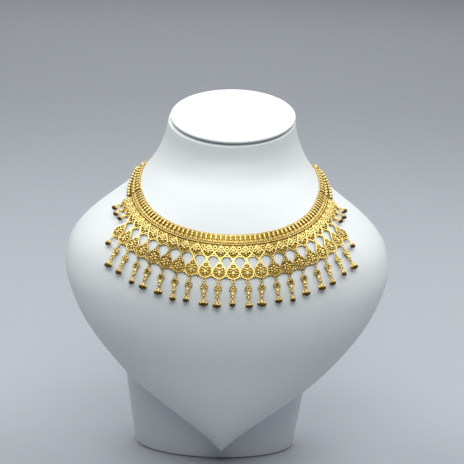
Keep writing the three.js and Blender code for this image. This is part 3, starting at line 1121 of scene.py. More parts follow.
# ---------------------------------------------------------------- the bust and its stand
@dataclass
class NeckBust:
    """The white bust: its body, the cap on its neck and the oval foot that carries it.

    Attributes:
        form: the surface that the body is lofted through.
        finishes: the materials.
        sides: number of steps round the body, the cap and the foot.
        ring_step: height from ring to ring of the body.
        tip_depth: how far the rounded point reaches below the lowest section.
        rim_round: radius of the neck's upper edge.
        cap_inset: how much smaller the cap's radius is than the neck's.
        cap_aside: how far the cap sits to the viewer's right.
        cap_forward: how far it sits to the front.
        cap_thickness: the disc's thickness.
        cap_lift: height of the disc's underside over the neck.
        cap_groove: how far the plinth under the disc is set in.
        cap_round: radius of the disc's edges.
        foot_middle: x and y of the foot's middle, before it is moved to its place in the frame.
        foot_size: half its length and half its depth at the floor.
        foot_height: the height it is made to, before its top is cut to the body.
        foot_flare: how much wider it is at that height.
        foot_round: radius of its lower edge.
    """

    form: BustForm
    finishes: Finishes
    sides: int = 96
    ring_step: float = 4 * MM
    tip_depth: float = 1.5 * MM
    rim_round: float = 0.4 * MM
    cap_inset: float = 0.9 * MM
    cap_aside: float = 0.8 * MM
    cap_forward: float = 0.4 * MM
    cap_thickness: float = 1.5 * MM
    cap_lift: float = 2.3 * MM
    cap_groove: float = 10.0 * MM
    cap_round: float = 0.35 * MM
    foot_middle: tuple[float, float] = (-5.6 * MM, -22 * MM)
    foot_size: tuple[float, float] = (62.8 * MM, 36.5 * MM)
    foot_height: float = 100 * MM
    foot_flare: float = 1.235
    foot_round: float = 1.2 * MM

    def build(self) -> None:
        """Builds the body, the cap and the foot."""
        body = self.body()
        self.finishes.dress(self.stand(body), Slot.STAND, "bust_stand")
        self.finishes.dress(body, Slot.BUST, "bust_form")
        self.finishes.dress(self.cap(), Slot.BUST, "neck_cap")

    def body(self) -> Piece:
        """Lofts the body up from its point: a circle, extruded ring by ring and fitted to the sections.

        Returns:
            The body.
        """
        low, high = self.form.heights[0], self.form.heights[-1] - self.rim_round
        heights = np.linspace(low, high, round((high - low) / self.ring_step))
        bpy.ops.mesh.primitive_circle_add(vertices=self.sides, radius=1.0)
        piece = newest("bust_body")
        with editing(piece):
            self._fit_ring(piece, heights[0], None)
            for before, height in zip(heights, heights[1:]):
                extrude((0, 0, self.ring_step))
                self._fit_ring(piece, height, before)
            self._close_neck()
            self._close_tip(piece)
            bpy.ops.mesh.select_all(action="SELECT")
            bpy.ops.mesh.normals_make_consistent(inside=False)
        return with_modifier(piece, "SUBSURF", levels=1, render_levels=1)

    def _fit_ring(self, piece: Piece, height: float, before: float | None) -> None:
        """Fits the selected ring to a section.

        Args:
            piece: the mesh in edit mode.
            height: the section's height.
            before: the height of the section the ring fits now; None for a plain circle.
        """
        ring_points = [v for v in bmesh.from_edit_mesh(piece.data).verts if v.select]
        places = np.array([v.co for v in ring_points])
        if before is None:
            turns = np.arctan2(places[:, 0], -places[:, 1])
        else:
            turns = self.form.angles(places, before)
        for vertex, place in zip(ring_points, self.form.points(np.full(len(turns), height), turns)):
            vertex.co = place
        bmesh.update_edit_mesh(piece.data)

    def _close_neck(self) -> None:
        """Rounds the neck's upper edge and closes it with a flat top."""
        shrink = 1 - self.rim_round / self.form.columns[-1, 0]
        for share, rise in ((shrink**0.3, 0.6), (shrink**0.7, 0.4)):
            extrude((0, 0, rise * self.rim_round))
            bpy.ops.transform.resize(value=(share, share, share))
        for share in (0.985, 0.9, 0.5, 0.1):
            extrude()
            bpy.ops.transform.resize(value=(share, share, share))
        bpy.ops.mesh.edge_face_add()

    def _close_tip(self, piece: Piece) -> None:
        """Rounds the point at the bottom off.

        Args:
            piece: the body in edit mode.
        """
        bottom = self.form.heights[0]
        select(piece, Part.VERTS, lambda vert: vert.co.z < bottom + NEAR)
        for share, fall in ((0.8, 0.45), (0.65, 0.35), (0.4, 0.2)):
            extrude((0, 0, -fall * self.tip_depth))
            bpy.ops.transform.resize(value=(share, share, 1))
        bpy.ops.mesh.edge_face_add()

    def cap(self) -> Piece:
        """Makes the disc on the neck: rounded edges, and a plinth under it that leaves a dark groove.

        Returns:
            The cap.
        """
        half, front = self.form.columns[-1][[0, 2]]
        radius = half - self.cap_inset
        bpy.ops.mesh.primitive_cylinder_add(
            vertices=self.sides, radius=radius, depth=self.cap_thickness, end_fill_type="NGON"
        )
        piece = newest("neck_lid")
        with editing(piece):
            bpy.ops.transform.translate(value=(0, 0, self.cap_lift + self.cap_thickness / 2))
            for height in (self.cap_lift + self.cap_thickness, self.cap_lift):

                def on_rim(edge: bmesh.types.BMEdge, z: float = height) -> bool:
                    """Returns whether an edge lies on the disc's rim at this height."""
                    return all(abs(v.co.z - z) < NEAR and v.co.xy.length > 0.99 * radius for v in edge.verts)

                select(piece, Part.EDGES, on_rim)
                bpy.ops.mesh.bevel(offset=self.cap_round, segments=4, affect="EDGES")
            select(piece, Part.FACES, lambda face: face.normal.z < -0.99)
            bpy.ops.mesh.inset(thickness=self.cap_groove)
            extrude((0, 0, GAP - self.cap_lift))
            bpy.ops.mesh.select_all(action="SELECT")
            bpy.ops.transform.resize(value=(1, front / half, 1), center_override=(0, 0, 0))
        flat = points_of(piece)
        lean = flat[:, 0] * self.form.lean_aside + flat[:, 1] * self.form.lean_back
        flat += (self.cap_aside, self.form.offset - self.cap_forward, self.form.heights[-1])
        flat[:, 2] += lean
        return move_points(piece, flat)

    def stand(self, body: Piece) -> Piece:
        """Makes the oval foot, wider at its top, and cuts its top to the body.

        Args:
            body: the bust's body.

        Returns:
            The foot.
        """
        middle = self.foot_height / 2
        bpy.ops.mesh.primitive_cylinder_add(vertices=self.sides, radius=1.0, depth=self.foot_height)
        piece = newest("oval_stand")
        with editing(piece):
            bpy.ops.transform.resize(value=(*self.foot_size, 1))
            x, y = self.foot_middle
            bpy.ops.transform.translate(value=(x, y + self.form.offset, middle))
            select(piece, Part.VERTS, lambda vert: vert.co.z > middle)
            bpy.ops.transform.resize(value=(self.foot_flare, self.foot_flare, 1))
            select(piece, Part.EDGES, lambda edge: max(v.co.z for v in edge.verts) < NEAR)
            bpy.ops.mesh.bevel(offset=self.foot_round, segments=4, affect="EDGES")
        cutter = copies(body.copy(), [Matrix.Identity(4)])[0]
        with editing(cutter):
            bpy.ops.transform.shrink_fatten(value=GAP)
        with_modifier(piece, "BOOLEAN", operation="DIFFERENCE", object=cutter, solver="EXACT")
        bpy.data.objects.remove(cutter)
        return piece


# ---------------------------------------------------------------- the necklace
@dataclass
class Goldwork:
    """What every part of the necklace is made with."""

    lie: NecklaceLie
    finishes: Finishes

    @property
    def layout(self) -> BibLayout:
        """Where the rows of the bib lie."""
        return self.lie.layout

    def draped(self, parts: Sequence[Piece], name: str, *nodes: str) -> Piece:
        """Joins flat parts, lays them over the bust and finishes them as one piece.

        Args:
            parts: the flat parts.
            name: the piece's name.
            nodes: the solids that it stands for.

        Returns:
            The piece.
        """
        piece = joined(parts, name)
        move_points(piece, self.lie.drape(points_of(piece)))
        return self.finishes.dress(piece, Slot.GOLD, *nodes)

    def rail(self, start: float, end: float, down: float, radius: float, height: float) -> Piece:
        """Makes a flat wire along the necklace, to be draped.

        Args:
            start: where it starts along the necklace.
            end: where it ends.
            down: how far below the inner edge it lies.
            radius: the wire's radius.
            height: its middle's height over the bust.

        Returns:
            The wire.
        """
        steps = max(2, round(abs(end - start) / (1.9 * MM)))
        return wire([(x, -down, height) for x in np.linspace(start, end, steps + 1)], radius)


@dataclass
class RibbedBand(Goldwork):
    """The upper band: beads on its edge, upright ribs, a row of small grains and a studded wire below."""

    ribs: int = 60
    base: float = 0.35 * MM
    edge_down: float = 0.45 * MM
    line_down: float = 1.05 * MM
    seed_down: float = 7.15 * MM
    rail_down: float = 8.4 * MM
    # the band's base strip between the ribs, painted dark with shade
    floor_relief: float = 0.2

    def build(self) -> Piece:
        """Builds the band flat and lays it on the bust.

        Returns:
            The band.
        """
        half = self.layout.half
        pitch = 2 * half / self.ribs
        places = [(i + 0.5) * pitch - half for i in range(self.ribs)]
        pairs = [x + side * pitch / 4 for x in places for side in (-1, 1)]
        studs = [x + i * pitch / 3 for x in places for i in (-1, 0, 1)]
        floor = GAP + self.base
        base = strip(2 * half, self.rail_down + 0.5 * MM, 0.4 * MM, floor, 3 * self.ribs)
        parts = [evenly_marked(base, self.floor_relief)]
        parts += in_row(self.rib(pitch), places, 0, floor)
        parts += in_row(grain(0.62 * MM, 0.75 * MM), pairs, self.edge_down, floor)
        parts += in_row(grain(0.72 * MM, 0.8 * MM), pairs, self.seed_down, floor)
        parts.append(self.rail(-half, half, self.line_down, 0.2 * MM, floor + 0.2 * MM))
        parts.append(self.rail(-half, half, self.rail_down, 0.42 * MM, floor + 0.4 * MM))
        parts += in_row(grain(0.6 * MM, 0.65 * MM), studs, self.rail_down, floor + 0.45 * MM)
        return self.draped(parts, "ribbed_band", "band_front")

    def rib(self, pitch: float) -> Piece:
        """Makes one rib: a long bead over a round one, inside a low arch.

        Args:
            pitch: the distance from rib to rib.

        Returns:
            The rib, with the band's inner edge through its origin.
        """
        long_bead = bar(3.9 * MM, 0.52 * pitch, 1.2 * MM, 0.6 * MM)
        parts = spread(long_bead, [(0, -3.2 * MM)])
        parts += spread(grain(0.8 * MM, 0.45 * MM), [(0, -2.5 * MM, 1.05 * MM)])
        parts += spread(grain(1.0 * MM, 1.15 * MM), [(0, -6.0 * MM, 0.15 * MM)])
        curve = [polar(0.46 * pitch, turn) for turn in np.linspace(200, 340, 6)]
        arch = wire([(x, -5.6 * MM + 0.7 * y, 0.75 * MM) for x, y in curve], 0.24 * MM)
        return joined([*parts, arch], "rib")


@dataclass
class ShoulderStrap(Goldwork):
    """The strap that carries the band on over a shoulder, with a row of balls along its outer edge."""

    side: int = 1
    pitch: float = 3.9 * MM
    base: float = 0.35 * MM
    rib_down: float = 2.7 * MM
    seed_downs: tuple[float, ...] = (1.6 * MM, 3.6 * MM)
    bead_down: float = 6.1 * MM
    bead_seed_downs: tuple[float, ...] = (5.2 * MM, 7.4 * MM)
    wire_downs: tuple[float, ...] = (0.55 * MM, 8.1 * MM)
    ball_down: float = 9.6 * MM
    ball: float = 1.45 * MM
    chain_down: float = 5.5 * MM
    lift: float = 0.8 * MM  # of the outer edge at the far end, which stands off the shoulder
    widths: tuple[float, float] = (1.22, 0.78)  # at the band and at the far end

    def build(self) -> Piece:
        """Builds the strap flat and lays it on the bust.

        Returns:
            The strap.
        """
        length = self.layout.strap
        count = int(length // self.pitch)
        start = self.side * (self.layout.half + GAP)
        end = start + self.side * length
        places = [start + self.side * (i + 0.5) * self.pitch for i in range(count)]
        between = [x + self.side * self.pitch / 2 for x in places]
        floor = GAP + self.base
        base = strip(length, 9.4 * MM, 0.4 * MM, floor, 3 * count)
        rib = bar(3.3 * MM, 0.52 * self.pitch, 1.9 * MM, 0.8 * MM)
        parts = [*spread(base, [((start + end) / 2, 0)]), *in_row(rib, places, self.rib_down, floor)]
        for down in self.seed_downs:
            parts += in_row(grain(0.6 * MM, 0.9 * MM), between, down, floor)
        parts += in_row(grain(1.45 * MM, 1.9 * MM, 3), places, self.bead_down, floor)
        for down in self.bead_seed_downs:
            parts += in_row(grain(0.7 * MM, 1.2 * MM), between, down, floor)
        parts += in_row(self.rim_ball(), places, self.ball_down, floor)
        parts += [self.rail(start, end, down, 0.26 * MM, floor + 0.25 * MM) for down in self.wire_downs]
        tip = [end - self.side * MM]
        parts += in_row(ring(1.6 * MM, 0.5 * MM), tip, self.chain_down, floor + 0.9 * MM)
        parts += in_row(grain(1.9 * MM, 2.6 * MM, 3), tip, 1.6 * MM, floor)
        parts += in_row(grain(1.5 * MM, 2.2 * MM, 3), tip, 9.0 * MM, floor)
        side = "right" if self.side > 0 else "left"
        shaped = self.shaped(joined(parts, "flat_strap"))
        return self.draped([shaped], f"shoulder_band_{side}", f"strap_{side}")

    def shaped(self, flat: Piece) -> Piece:
        """Narrows the flat strap towards its far end and lifts its outer edge there.

        Args:
            flat: the strap with equal edges.

        Returns:
            The same strap.
        """
        points = points_of(flat)
        share = np.clip((np.abs(points[:, 0]) - self.layout.half) / self.layout.strap, 0, 1)
        points[:, 2] += self.lift * share**1.5 * np.clip(-points[:, 1] / self.ball_down, 0, 1)
        points[:, 1] *= self.widths[0] + (self.widths[1] - self.widths[0]) * share
        return move_points(flat, points)

    def rim_ball(self) -> Piece:
        """Makes one ball of the outer row, with a collar.

        Returns:
            The ball with its collar.
        """
        parts = spread(grain(self.ball, self.ball, 3), [(0, 0, 1.1 * MM)])
        # the collar beside the ball is painted in deep shade
        collar = evenly_marked(ring(0.6 * MM, 0.35 * MM), 0.2)
        return joined(parts + spread(collar, [(0, 1.1 * MM, 0.3 * MM)]), "rim_ball")


@dataclass
class RosetteRow(Goldwork):
    """A row of rosettes, each in a diamond of crossing wires, with a small ring in every gap above."""

    radius: float = 3.4 * MM
    petals: int = 6
    plate: float = 0.45 * MM
    # the plate behind the lattice, painted dark with shade
    plate_shade_relief: float = 0.16
    wire_radius: float = 0.42 * MM
    arch_radius: float = 0.34 * MM

    def build(self) -> Piece:
        """Builds the lattice flat and drapes it, and sets the rosettes stiffly on it.

        Returns:
            The row.
        """
        layout = self.layout
        lattice = joined([self.backing(), *self.lattice()], "lattice")
        move_points(lattice, self.lie.drape(points_of(lattice)))
        seats = self.lie.seats([layout.along(n) for n in range(layout.units)], layout.rosette)
        rosettes = copies(self.rosette(), seats.frames(GAP + self.plate + 0.15 * MM))
        piece = joined([lattice, *rosettes], "rosettes")
        return self.finishes.dress(piece, Slot.GOLD, "rosette_row")

    def lattice(self) -> list[Piece]:
        """Makes the flat lattice: a diamond, a ring over every gap, and grains round them.

        Returns:
            A cell of it for each rosette.
        """
        layout = self.layout
        half = layout.pitch / 2
        floor = GAP + self.plate
        cross = -layout.lattice_cross
        gap_middle = -layout.lattice_top - 2.0 * MM
        corners = [
            (0, -layout.lattice_top, floor + 0.35 * MM),
            (half, cross, floor + 0.75 * MM),
            (0, -layout.lattice_low, floor + 0.35 * MM),
            (-half, cross, floor + 0.75 * MM),
        ]
        cell = []
        for i, start in enumerate(corners):
            end = Vector(corners[(i + 1) % 4])
            cell.append(wire([Vector(start).lerp(end, t / 4) for t in range(5)], self.wire_radius))
        steps = np.linspace(-half, half, 17)
        arch = [(x, 0.25 * MM - self.edge_down(x), floor + 0.1 * MM) for x in steps]
        cell.append(wire(arch, self.arch_radius))
        cell += spread(ring(1.1 * MM, 0.4 * MM), [(half, gap_middle, floor + 0.35 * MM)])
        # a flat grain under the ring, painted in the darkest shade so that the ring's hole reads dark
        cell += spread(evenly_marked(grain(0.6 * MM, 0.3 * MM), 0.05), [(half, gap_middle, floor)])
        fills = [(half + s * 1.75 * MM, gap_middle + 1.35 * MM, floor) for s in (-1, 1)]
        fills += [(half, gap_middle - 2.2 * MM, floor + 0.1 * MM), (half, cross - 1.3 * MM, floor)]
        fills += [(half + s * 1.3 * MM, cross - 1.75 * MM, floor) for s in (-1, 1)]
        cell += spread(grain(0.58 * MM, 0.75 * MM), fills)
        cell += spread(ring(0.85 * MM, 0.34 * MM), [(0, 0.6 * MM - layout.lattice_low, floor + 0.5 * MM)])
        return spread(joined(cell, "cell"), [(layout.along(n), 0) for n in range(layout.units)])

    def edge_down(self, x: np.ndarray | float) -> np.ndarray | float:
        """Finds how far down the lattice reaches: a point under each rosette and an arch over each gap.

        Args:
            x: place along the necklace, from the middle of any rosette.

        Returns:
            The distance below the inner edge.
        """
        layout = self.layout
        from_point = np.abs((x / layout.pitch + 0.5) % 1.0 - 0.5) * 2
        drop = layout.lattice_low - layout.lattice_notch
        return layout.lattice_notch + drop * (1 - np.sqrt(from_point))

    def backing(self) -> Piece:
        """Makes the plate behind the lattice: a strip whose lower edge is drawn into arches.

        Returns:
            The plate.
        """
        layout = self.layout
        upper, notch, floor = layout.lattice_top - 0.4 * MM, layout.lattice_notch, GAP + self.plate
        piece = strip(2 * layout.half, notch, upper, floor, 8 * layout.units)
        points = points_of(piece)
        lower = points[:, 1] < 0.1 * MM - notch
        points[lower, 1] = -self.edge_down(points[lower, 0] - layout.along(0))
        points[:, 2] = np.where(points[:, 2] > floor / 2, floor, GAP)
        return evenly_marked(move_points(piece, points), self.plate_shade_relief)

    def rosette(self) -> Piece:
        """Makes one rosette: six petals, a pierced button in the middle and grains round the petals.

        Returns:
            The rosette.
        """
        step = 360 / self.petals
        leaf = petal(0.68 * self.radius, 0.74 * self.radius, 0.9 * MM)
        leaf.data.transform(Matrix.Translation((0.28 * self.radius, 0, 0.1 * MM)))
        parts = spread(leaf, [(0, 0, 0, step * i + 30) for i in range(self.petals)])
        parts += spread(grain(0.95 * MM, 0.75 * MM), [(0, 0, 0.7 * MM)])
        parts += spread(ring(1.1 * MM, 0.24 * MM), [(0, 0, 0.7 * MM)])
        seeds = [(*polar(0.98 * self.radius, step * i), 0.05 * MM) for i in range(self.petals)]
        seeds += [(0, 1.22 * self.radius), (0, -1.22 * self.radius)]
        return joined(parts + spread(grain(0.6 * MM, 0.85 * MM), seeds), "rosette")


@dataclass
class PearRow(Goldwork):
    """The filigree pears, with a flower and grains in each, and clusters of grains that join them."""

    corners: int = 32
    plate: float = 0.4 * MM
    # the pear's field and its end rings are painted partly in shade
    field_shade_relief: float = 0.6
    ring_shade_relief: float = 0.25
    wire_radius: float = 0.3 * MM
    point: float = 0.09  # half the width at the pear's point, as a share of its widest
    flank: float = 1.6  # how hollow the pear's sides are
    widest: float = 0.64
    bluntness: float = 2.6  # of its round end
    on_axis: float = 1e-4  # a point of the circle nearer to its axis than this lies on it

    def build(self) -> Piece:
        """Builds one pear, copies it along the row and joins the row with the clusters.

        Returns:
            The row.
        """
        layout = self.layout
        numbers = list(range(layout.bare_ends, layout.units - layout.bare_ends))
        middle = layout.pear_length / 2
        seats = self.lie.pear_seats(numbers, layout.pear_top + middle)
        pear = self.pear()
        pear.data.transform(Matrix.Translation((0, middle, 0)))
        pears = copies(pear, seats.frames(2 * GAP))
        low = layout.pear_top + layout.pear_length - layout.pear_half
        links = self.lie.pear_seats([n + 0.5 for n in numbers[:-1]], low)
        clusters = copies(self.cluster(), links.frames(2 * GAP))
        piece = joined([*pears, *clusters], "pears")
        return self.finishes.dress(piece, Slot.GOLD, "pear_row")

    def half_width(self, down: float) -> float:
        """Measures the pear: a fan over a blunt round end.

        Args:
            down: distance below the pear's point.

        Returns:
            Half the pear's width there.
        """
        share = down / self.layout.pear_length
        if share < self.widest:
            fan = math.sin(math.pi / 2 * (share / self.widest) ** self.flank)
            return self.layout.pear_half * (self.point + (1 - self.point) * fan)
        past = (share - self.widest) / (1 - self.widest)
        return self.layout.pear_half * max(0.0, 1 - past**self.bluntness) ** (1 / self.bluntness)

    def outline(self, across: float, up: float) -> tuple[float, float]:
        """Turns a point of a circle of radius 1 into a point of the pear's outline.

        Args:
            across: its x.
            up: its y.

        Returns:
            The x and y of the outline.
        """
        down = self.layout.pear_length * (1 - up) / 2
        side = 0 if abs(across) < self.on_axis else math.copysign(1, across)
        return side * self.half_width(down), -down

    def pear(self) -> Piece:
        """Makes one pear with its point at the origin, hanging down -y.

        Returns:
            The pear.
        """
        bpy.ops.mesh.primitive_circle_add(vertices=self.corners, radius=1.0, fill_type="NGON")
        tray = newest("tray")
        with editing(tray):
            mesh = bmesh.from_edit_mesh(tray.data)
            for vertex in mesh.verts:
                vertex.co = (*self.outline(vertex.co.x, vertex.co.y), 0)
            bmesh.update_edit_mesh(tray.data)
            extrude((0, 0, self.plate))
            bpy.ops.mesh.inset(thickness=0.6 * MM)
            bpy.ops.mesh.select_all(action="SELECT")
            bpy.ops.mesh.normals_make_consistent(inside=False)
        inner = np.arange(len(tray.data.vertices)) >= 2 * self.corners
        # painted shade: deep at the tray's edge, lighter over its field
        mark(tray, np.where(inner, self.field_shade_relief, EDGE))
        rim = []
        for turn in np.linspace(0, 2 * math.pi, self.corners, endpoint=False):
            x, y = self.outline(math.sin(turn), math.cos(turn))
            rim.append((0.96 * x, y, self.plate + 0.4 * MM))
        parts = [tray, wire(rim, self.wire_radius, closed=True), *self.flower(), *self.crest()]
        low = -self.layout.pear_length - 0.3 * MM
        ends = [(0, 0.3 * MM, self.plate + 0.2 * MM), (0, low, self.plate)]
        # the end rings are painted a shade darker than free rings
        parts += spread(evenly_marked(ring(0.8 * MM, 0.32 * MM), self.ring_shade_relief), ends)
        return joined(parts, "pear")

    def flower(self) -> list[Piece]:
        """Makes the flower in the pear's round end, with grains round it.

        Returns:
            The flower's parts.
        """
        half = self.layout.pear_half
        heart = half - self.layout.pear_length - 0.35 * MM
        leaf = petal(2.4 * MM, 2.3 * MM, 1.15 * MM)
        leaf.data.transform(Matrix.Translation((0.9 * MM, 0, 0)))
        parts = spread(leaf, [(0, heart, self.plate, 60 * i + 30) for i in range(6)])
        parts += spread(ring(0.85 * MM, 0.26 * MM), [(0, heart, self.plate + 0.85 * MM)])
        parts += spread(grain(0.6 * MM, 0.6 * MM), [(0, heart, self.plate + 0.75 * MM)])
        ends = [polar(half - 1.15 * MM, -90 + 25.7 * i) for i in range(-4, 5)]
        return parts + spread(grain(0.62 * MM, 0.85 * MM), [(x, heart + y, self.plate) for x, y in ends])

    def crest(self) -> list[Piece]:
        """Makes the garland over the flower and the beads that narrow up to the pear's point.

        Returns:
            The garland and the beads.
        """
        top = self.plate + 0.45 * MM
        garland = [(x * MM, (-6.2 + 0.1 * x * x) * MM, top) for x in np.linspace(-3.0, 3.0, 7)]
        parts = [wire(garland, 0.3 * MM)]
        rows = ((-4.7, (-1.9, 0.0, 1.9), 0.85), (-3.3, (-0.85, 0.85), 0.75), (-0.8, (0.0,), 0.5))
        for y, xs, radius in rows:
            bead = grain(radius * MM, 1.1 * radius * MM)
            parts += spread(bead, [(x * MM, y * MM, self.plate) for x in xs])
        return parts + spread(ring(0.72 * MM, 0.3 * MM), [(0, -2.0 * MM, self.plate + 0.35 * MM)])

    def cluster(self) -> Piece:
        """Makes the bright grains that join a pear to the next and fill the notch between them.

        Returns:
            The cluster.
        """
        spots = (
            (0.0, 1.3, 0.75),
            (0.0, -1.9, 0.85),
            (-1.05, -2.8, 0.95),
            (1.05, -2.8, 0.95),
            (0.0, -3.8, 1.15),
            (-2.1, -4.0, 0.75),
            (2.1, -4.0, 0.75),
        )
        bridge = [(x * MM, -3.4 * MM, 0.3 * MM) for x in np.linspace(-2.6, 2.6, 5)]
        grains = spread(grain(0.85 * MM, 1.2 * MM), [(x * MM, y * MM, 0, 0, size) for x, y, size in spots])
        # the wire under the grains is painted in the deeper shade
        return joined([*grains, evenly_marked(wire(bridge, 0.45 * MM), RECESS)], "cluster")


@dataclass
class Drops(Goldwork):
    """The hanging drops: rings, a flower link, beads, and a plate over balls painted dark with shade.

    Attributes:
        hang_lower: how much longer the long drops are than the line of the row.
        uneven_length: how much the lengths differ, and uneven_length_rate how quickly from drop to drop.
        uneven_width: the same for the widths of their ends, which starts at uneven_width_start.
        twist: the same for the turn of their ends, in degrees.
        end_width: the width of a short drop's end, as a share of a long drop's.
        flower_down: how far down the flower link's middle is.
        plate_up: height of the plate over the drop's lowest point.
        plate_half: half the plate's width.
        ball: radius of the balls under the plate, painted dark with shade and a dark reflection.
    """

    hang_lower: float = 1.7 * MM
    uneven_length: float = 0.8 * MM
    uneven_length_rate: float = 2.3
    uneven_width: float = 0.24
    uneven_width_rate: float = 1.7
    uneven_width_start: float = 1.2
    twist: float = 14.0
    twist_rate: float = 3.1
    end_width: float = 0.85
    flower_down: float = 6.9 * MM
    plate_up: float = 2.9 * MM
    plate_half: float = 2.9 * MM
    ball: float = 1.1 * MM

    def build(self) -> None:
        """Builds every drop in its place."""
        layout = self.layout
        for number in range(layout.units):
            from_end = min(number, layout.units - 1 - number)
            short = from_end <= layout.bare_ends
            down = layout.pear_top + layout.pear_length + GAP
            length = layout.short_length if short else layout.drop_length + self.hang_lower
            if from_end < layout.bare_ends:
                down, length = layout.lattice_low + GAP, layout.end_length
            length += self.uneven_length * math.sin(self.uneven_length_rate * number)
            piece = self.drop(short, length, number)
            piece.name = f"hanging_{number + 1:02d}"
            piece.data.transform(self.lie.drop_frame(number, down, length))
            node = f"short_drop_{number + 1:02d}" if short else f"drop_{number + 1:02d}"
            self.finishes.dress(piece, Slot.GOLD, node)

    def drop(self, short: bool, length: float, number: int) -> Piece:
        """Makes a drop that hangs down -y from the origin.

        Args:
            short: whether it is only rings, a bead and its end.
            length: its length.
            number: its unit, which gives it its own turn and width.

        Returns:
            The drop.
        """
        parts = spread(ring(1.15 * MM, 0.42 * MM), [(0, -1.0 * MM, 0.3 * MM)])
        if length > self.layout.end_length + self.hang_lower:
            parts += spread(self.upright_ring(0.8 * MM), [(0, -2.8 * MM)])
        parts += [] if short else [*self.flower_link(), *self.waist(length)]
        end = joined(self.foot(), "foot")
        wider = self.uneven_width * math.sin(self.uneven_width_rate * number + self.uneven_width_start)
        width = (self.end_width if short else 1.0) + wider
        turn = math.radians(self.twist * math.sin(self.twist_rate * number))
        place = Matrix.Translation((0, -length, 0)) @ Matrix.Diagonal((width, 1, 1, 1))
        end.data.transform(place @ Matrix.Rotation(turn, 4, "Y"))
        return joined([*parts, end], "drop")

    def upright_ring(self, radius: float) -> Piece:
        """Makes a ring that stands on edge, linked through the one above it.

        Args:
            radius: the ring's radius.

        Returns:
            The ring.
        """
        piece = ring(radius, 0.3 * MM)
        piece.data.transform(Matrix.Rotation(math.radians(65), 4, "Y"))
        return piece

    def flower_link(self) -> list[Piece]:
        """Makes the flower link: six petals round a ringed heart whose hole is painted dark with shade, and
        grains between them.

        Returns:
            The link's parts.
        """
        y = -self.flower_down
        leaf = petal(1.75 * MM, 1.85 * MM, 1.0 * MM)
        leaf.data.transform(Matrix.Translation((1.1 * MM, 0, 0)))
        parts = spread(leaf, [(0, y, -0.1 * MM, 60 * i + 30) for i in range(6)])
        parts += spread(ring(1.0 * MM, 0.4 * MM), [(0, y, 0.55 * MM)])
        # a flat grain in the ring, painted in the darkest shade, stands for the hole
        parts += spread(evenly_marked(grain(0.9 * MM, 0.3 * MM), 0.0), [(0, y, 0.15 * MM)])
        seeds = [polar(2.55 * MM, 60 * i) for i in range(6)]
        parts += spread(grain(0.5 * MM, 0.65 * MM), [(x, y + up, -0.05 * MM) for x, up in seeds])
        joints = [(0, y + 3.15 * MM), (0, y - 3.1 * MM)]
        return parts + spread(self.ball_of(0.6 * MM, PROUD), joints)

    def waist(self, length: float) -> list[Piece]:
        """Makes the beads between the flower link and the foot.

        Args:
            length: the drop's length.

        Returns:
            The beads and the ring under them.
        """
        top = -self.flower_down - 4.1 * MM
        low = self.plate_up + 2.9 * MM - length
        middle = (top + low) / 2
        parts = spread(self.bead(1.4 * MM), [(0, top)])
        parts += spread(self.bead(1.15 * MM), [(0, middle - 0.3 * MM)])
        corners = [polar(1.7 * MM, 90 * i + 45) for i in range(4)]
        girdle = [(x, top + y, 0.3 * MM) for x, y in corners]
        girdle += [(s * 1.2 * MM, middle + 0.9 * MM, 0.4 * MM) for s in (-1, 1)]
        parts += spread(self.ball_of(0.55 * MM), girdle)
        parts += spread(ring(1.0 * MM, 0.42 * MM), [(0, low)])
        last = [(s * 1.1 * MM, low - 0.9 * MM, 0.4 * MM) for s in (-1, 1)]
        return parts + spread(self.ball_of(0.6 * MM), last)

    def bead(self, radius: float) -> Piece:
        """Turns a small round bead with a collar at each end.

        Args:
            radius: its radius.

        Returns:
            The bead.
        """
        collar = [(0, 1.15), (0.45, 1.1), (0.5, 0.8)]
        belly = [polar(1, degrees) for degrees in (45, 20, 0, -20, -45)]
        profile = [*collar, *belly, *((share, -y) for share, y in reversed(collar))]
        return turned_shape([(share * radius, y * radius) for share, y in profile], 14)

    def foot(self) -> list[Piece]:
        """Makes a drop's end, with its lowest point at the origin: a cone, a lobed plate and balls.

        Returns:
            The end's parts.
        """
        up, half = self.plate_up, self.plate_half
        cone = turned_shape(
            [
                (0, up + 2.1 * MM),
                (0.6 * MM, up + 2.0 * MM),
                (0.75 * MM, up + 1.2 * MM),
                (1.15 * MM, up + 0.6 * MM),
                (0.55 * half, up + 0.15 * MM),
                (0.5 * half, up - 0.5 * MM),
                (0, up - 0.6 * MM),
            ],
            18,
        )
        lobe = self.ball_of(1.4 * MM)
        lobe.data.transform(Matrix.Diagonal((1, 0.5, 0.75, 1)))
        spots = ((-1.75, 0.1), (0.0, 0.8), (1.75, 0.1), (0.0, -0.75))
        lobes = spread(lobe, [(x * MM, up, z * MM) for x, z in spots])
        nubs = [(x * MM, up + 0.6 * MM, z * MM) for x, z in ((-2.2, 0.5), (0, 1.4), (2.2, 0.5))]
        grains = spread(self.ball_of(0.55 * MM), nubs)
        balls = spread(
            self.ball_of(self.ball, 0.0, 3),
            [
                (-1.7 * MM, self.ball + 0.75 * MM, 0),
                (1.7 * MM, self.ball + 0.75 * MM, 0),
                (0, self.ball, 0.5 * MM),
                (0, self.ball + 0.9 * MM, -0.8 * MM),
            ],
        )
        # the balls are painted dark with shade and a dark reflection, darkest at the bottom
        for ball in balls:
            heights = points_of(ball)[:, 1]
            mark(ball, 0.12 * np.clip(heights / (2.6 * self.ball), 0, 1) ** 2)
        return [cone, *lobes, *grains, *balls]

    def ball_of(self, radius: float, relief: float = 1.0, fine: int = 2) -> Piece:
        """Makes a free round ball, a little longer than wide.

        Args:
            radius: its radius.
            relief: the relief of its upper side.
            fine: how finely it is divided.

        Returns:
            The ball.
        """
        bpy.ops.mesh.primitive_ico_sphere_add(subdivisions=fine, radius=radius)
        piece = newest("ball")
        with editing(piece):
            bpy.ops.transform.resize(value=(1, 1.08, 1))
        return marked(piece, -0.7 * radius, 0.4 * radius, relief)


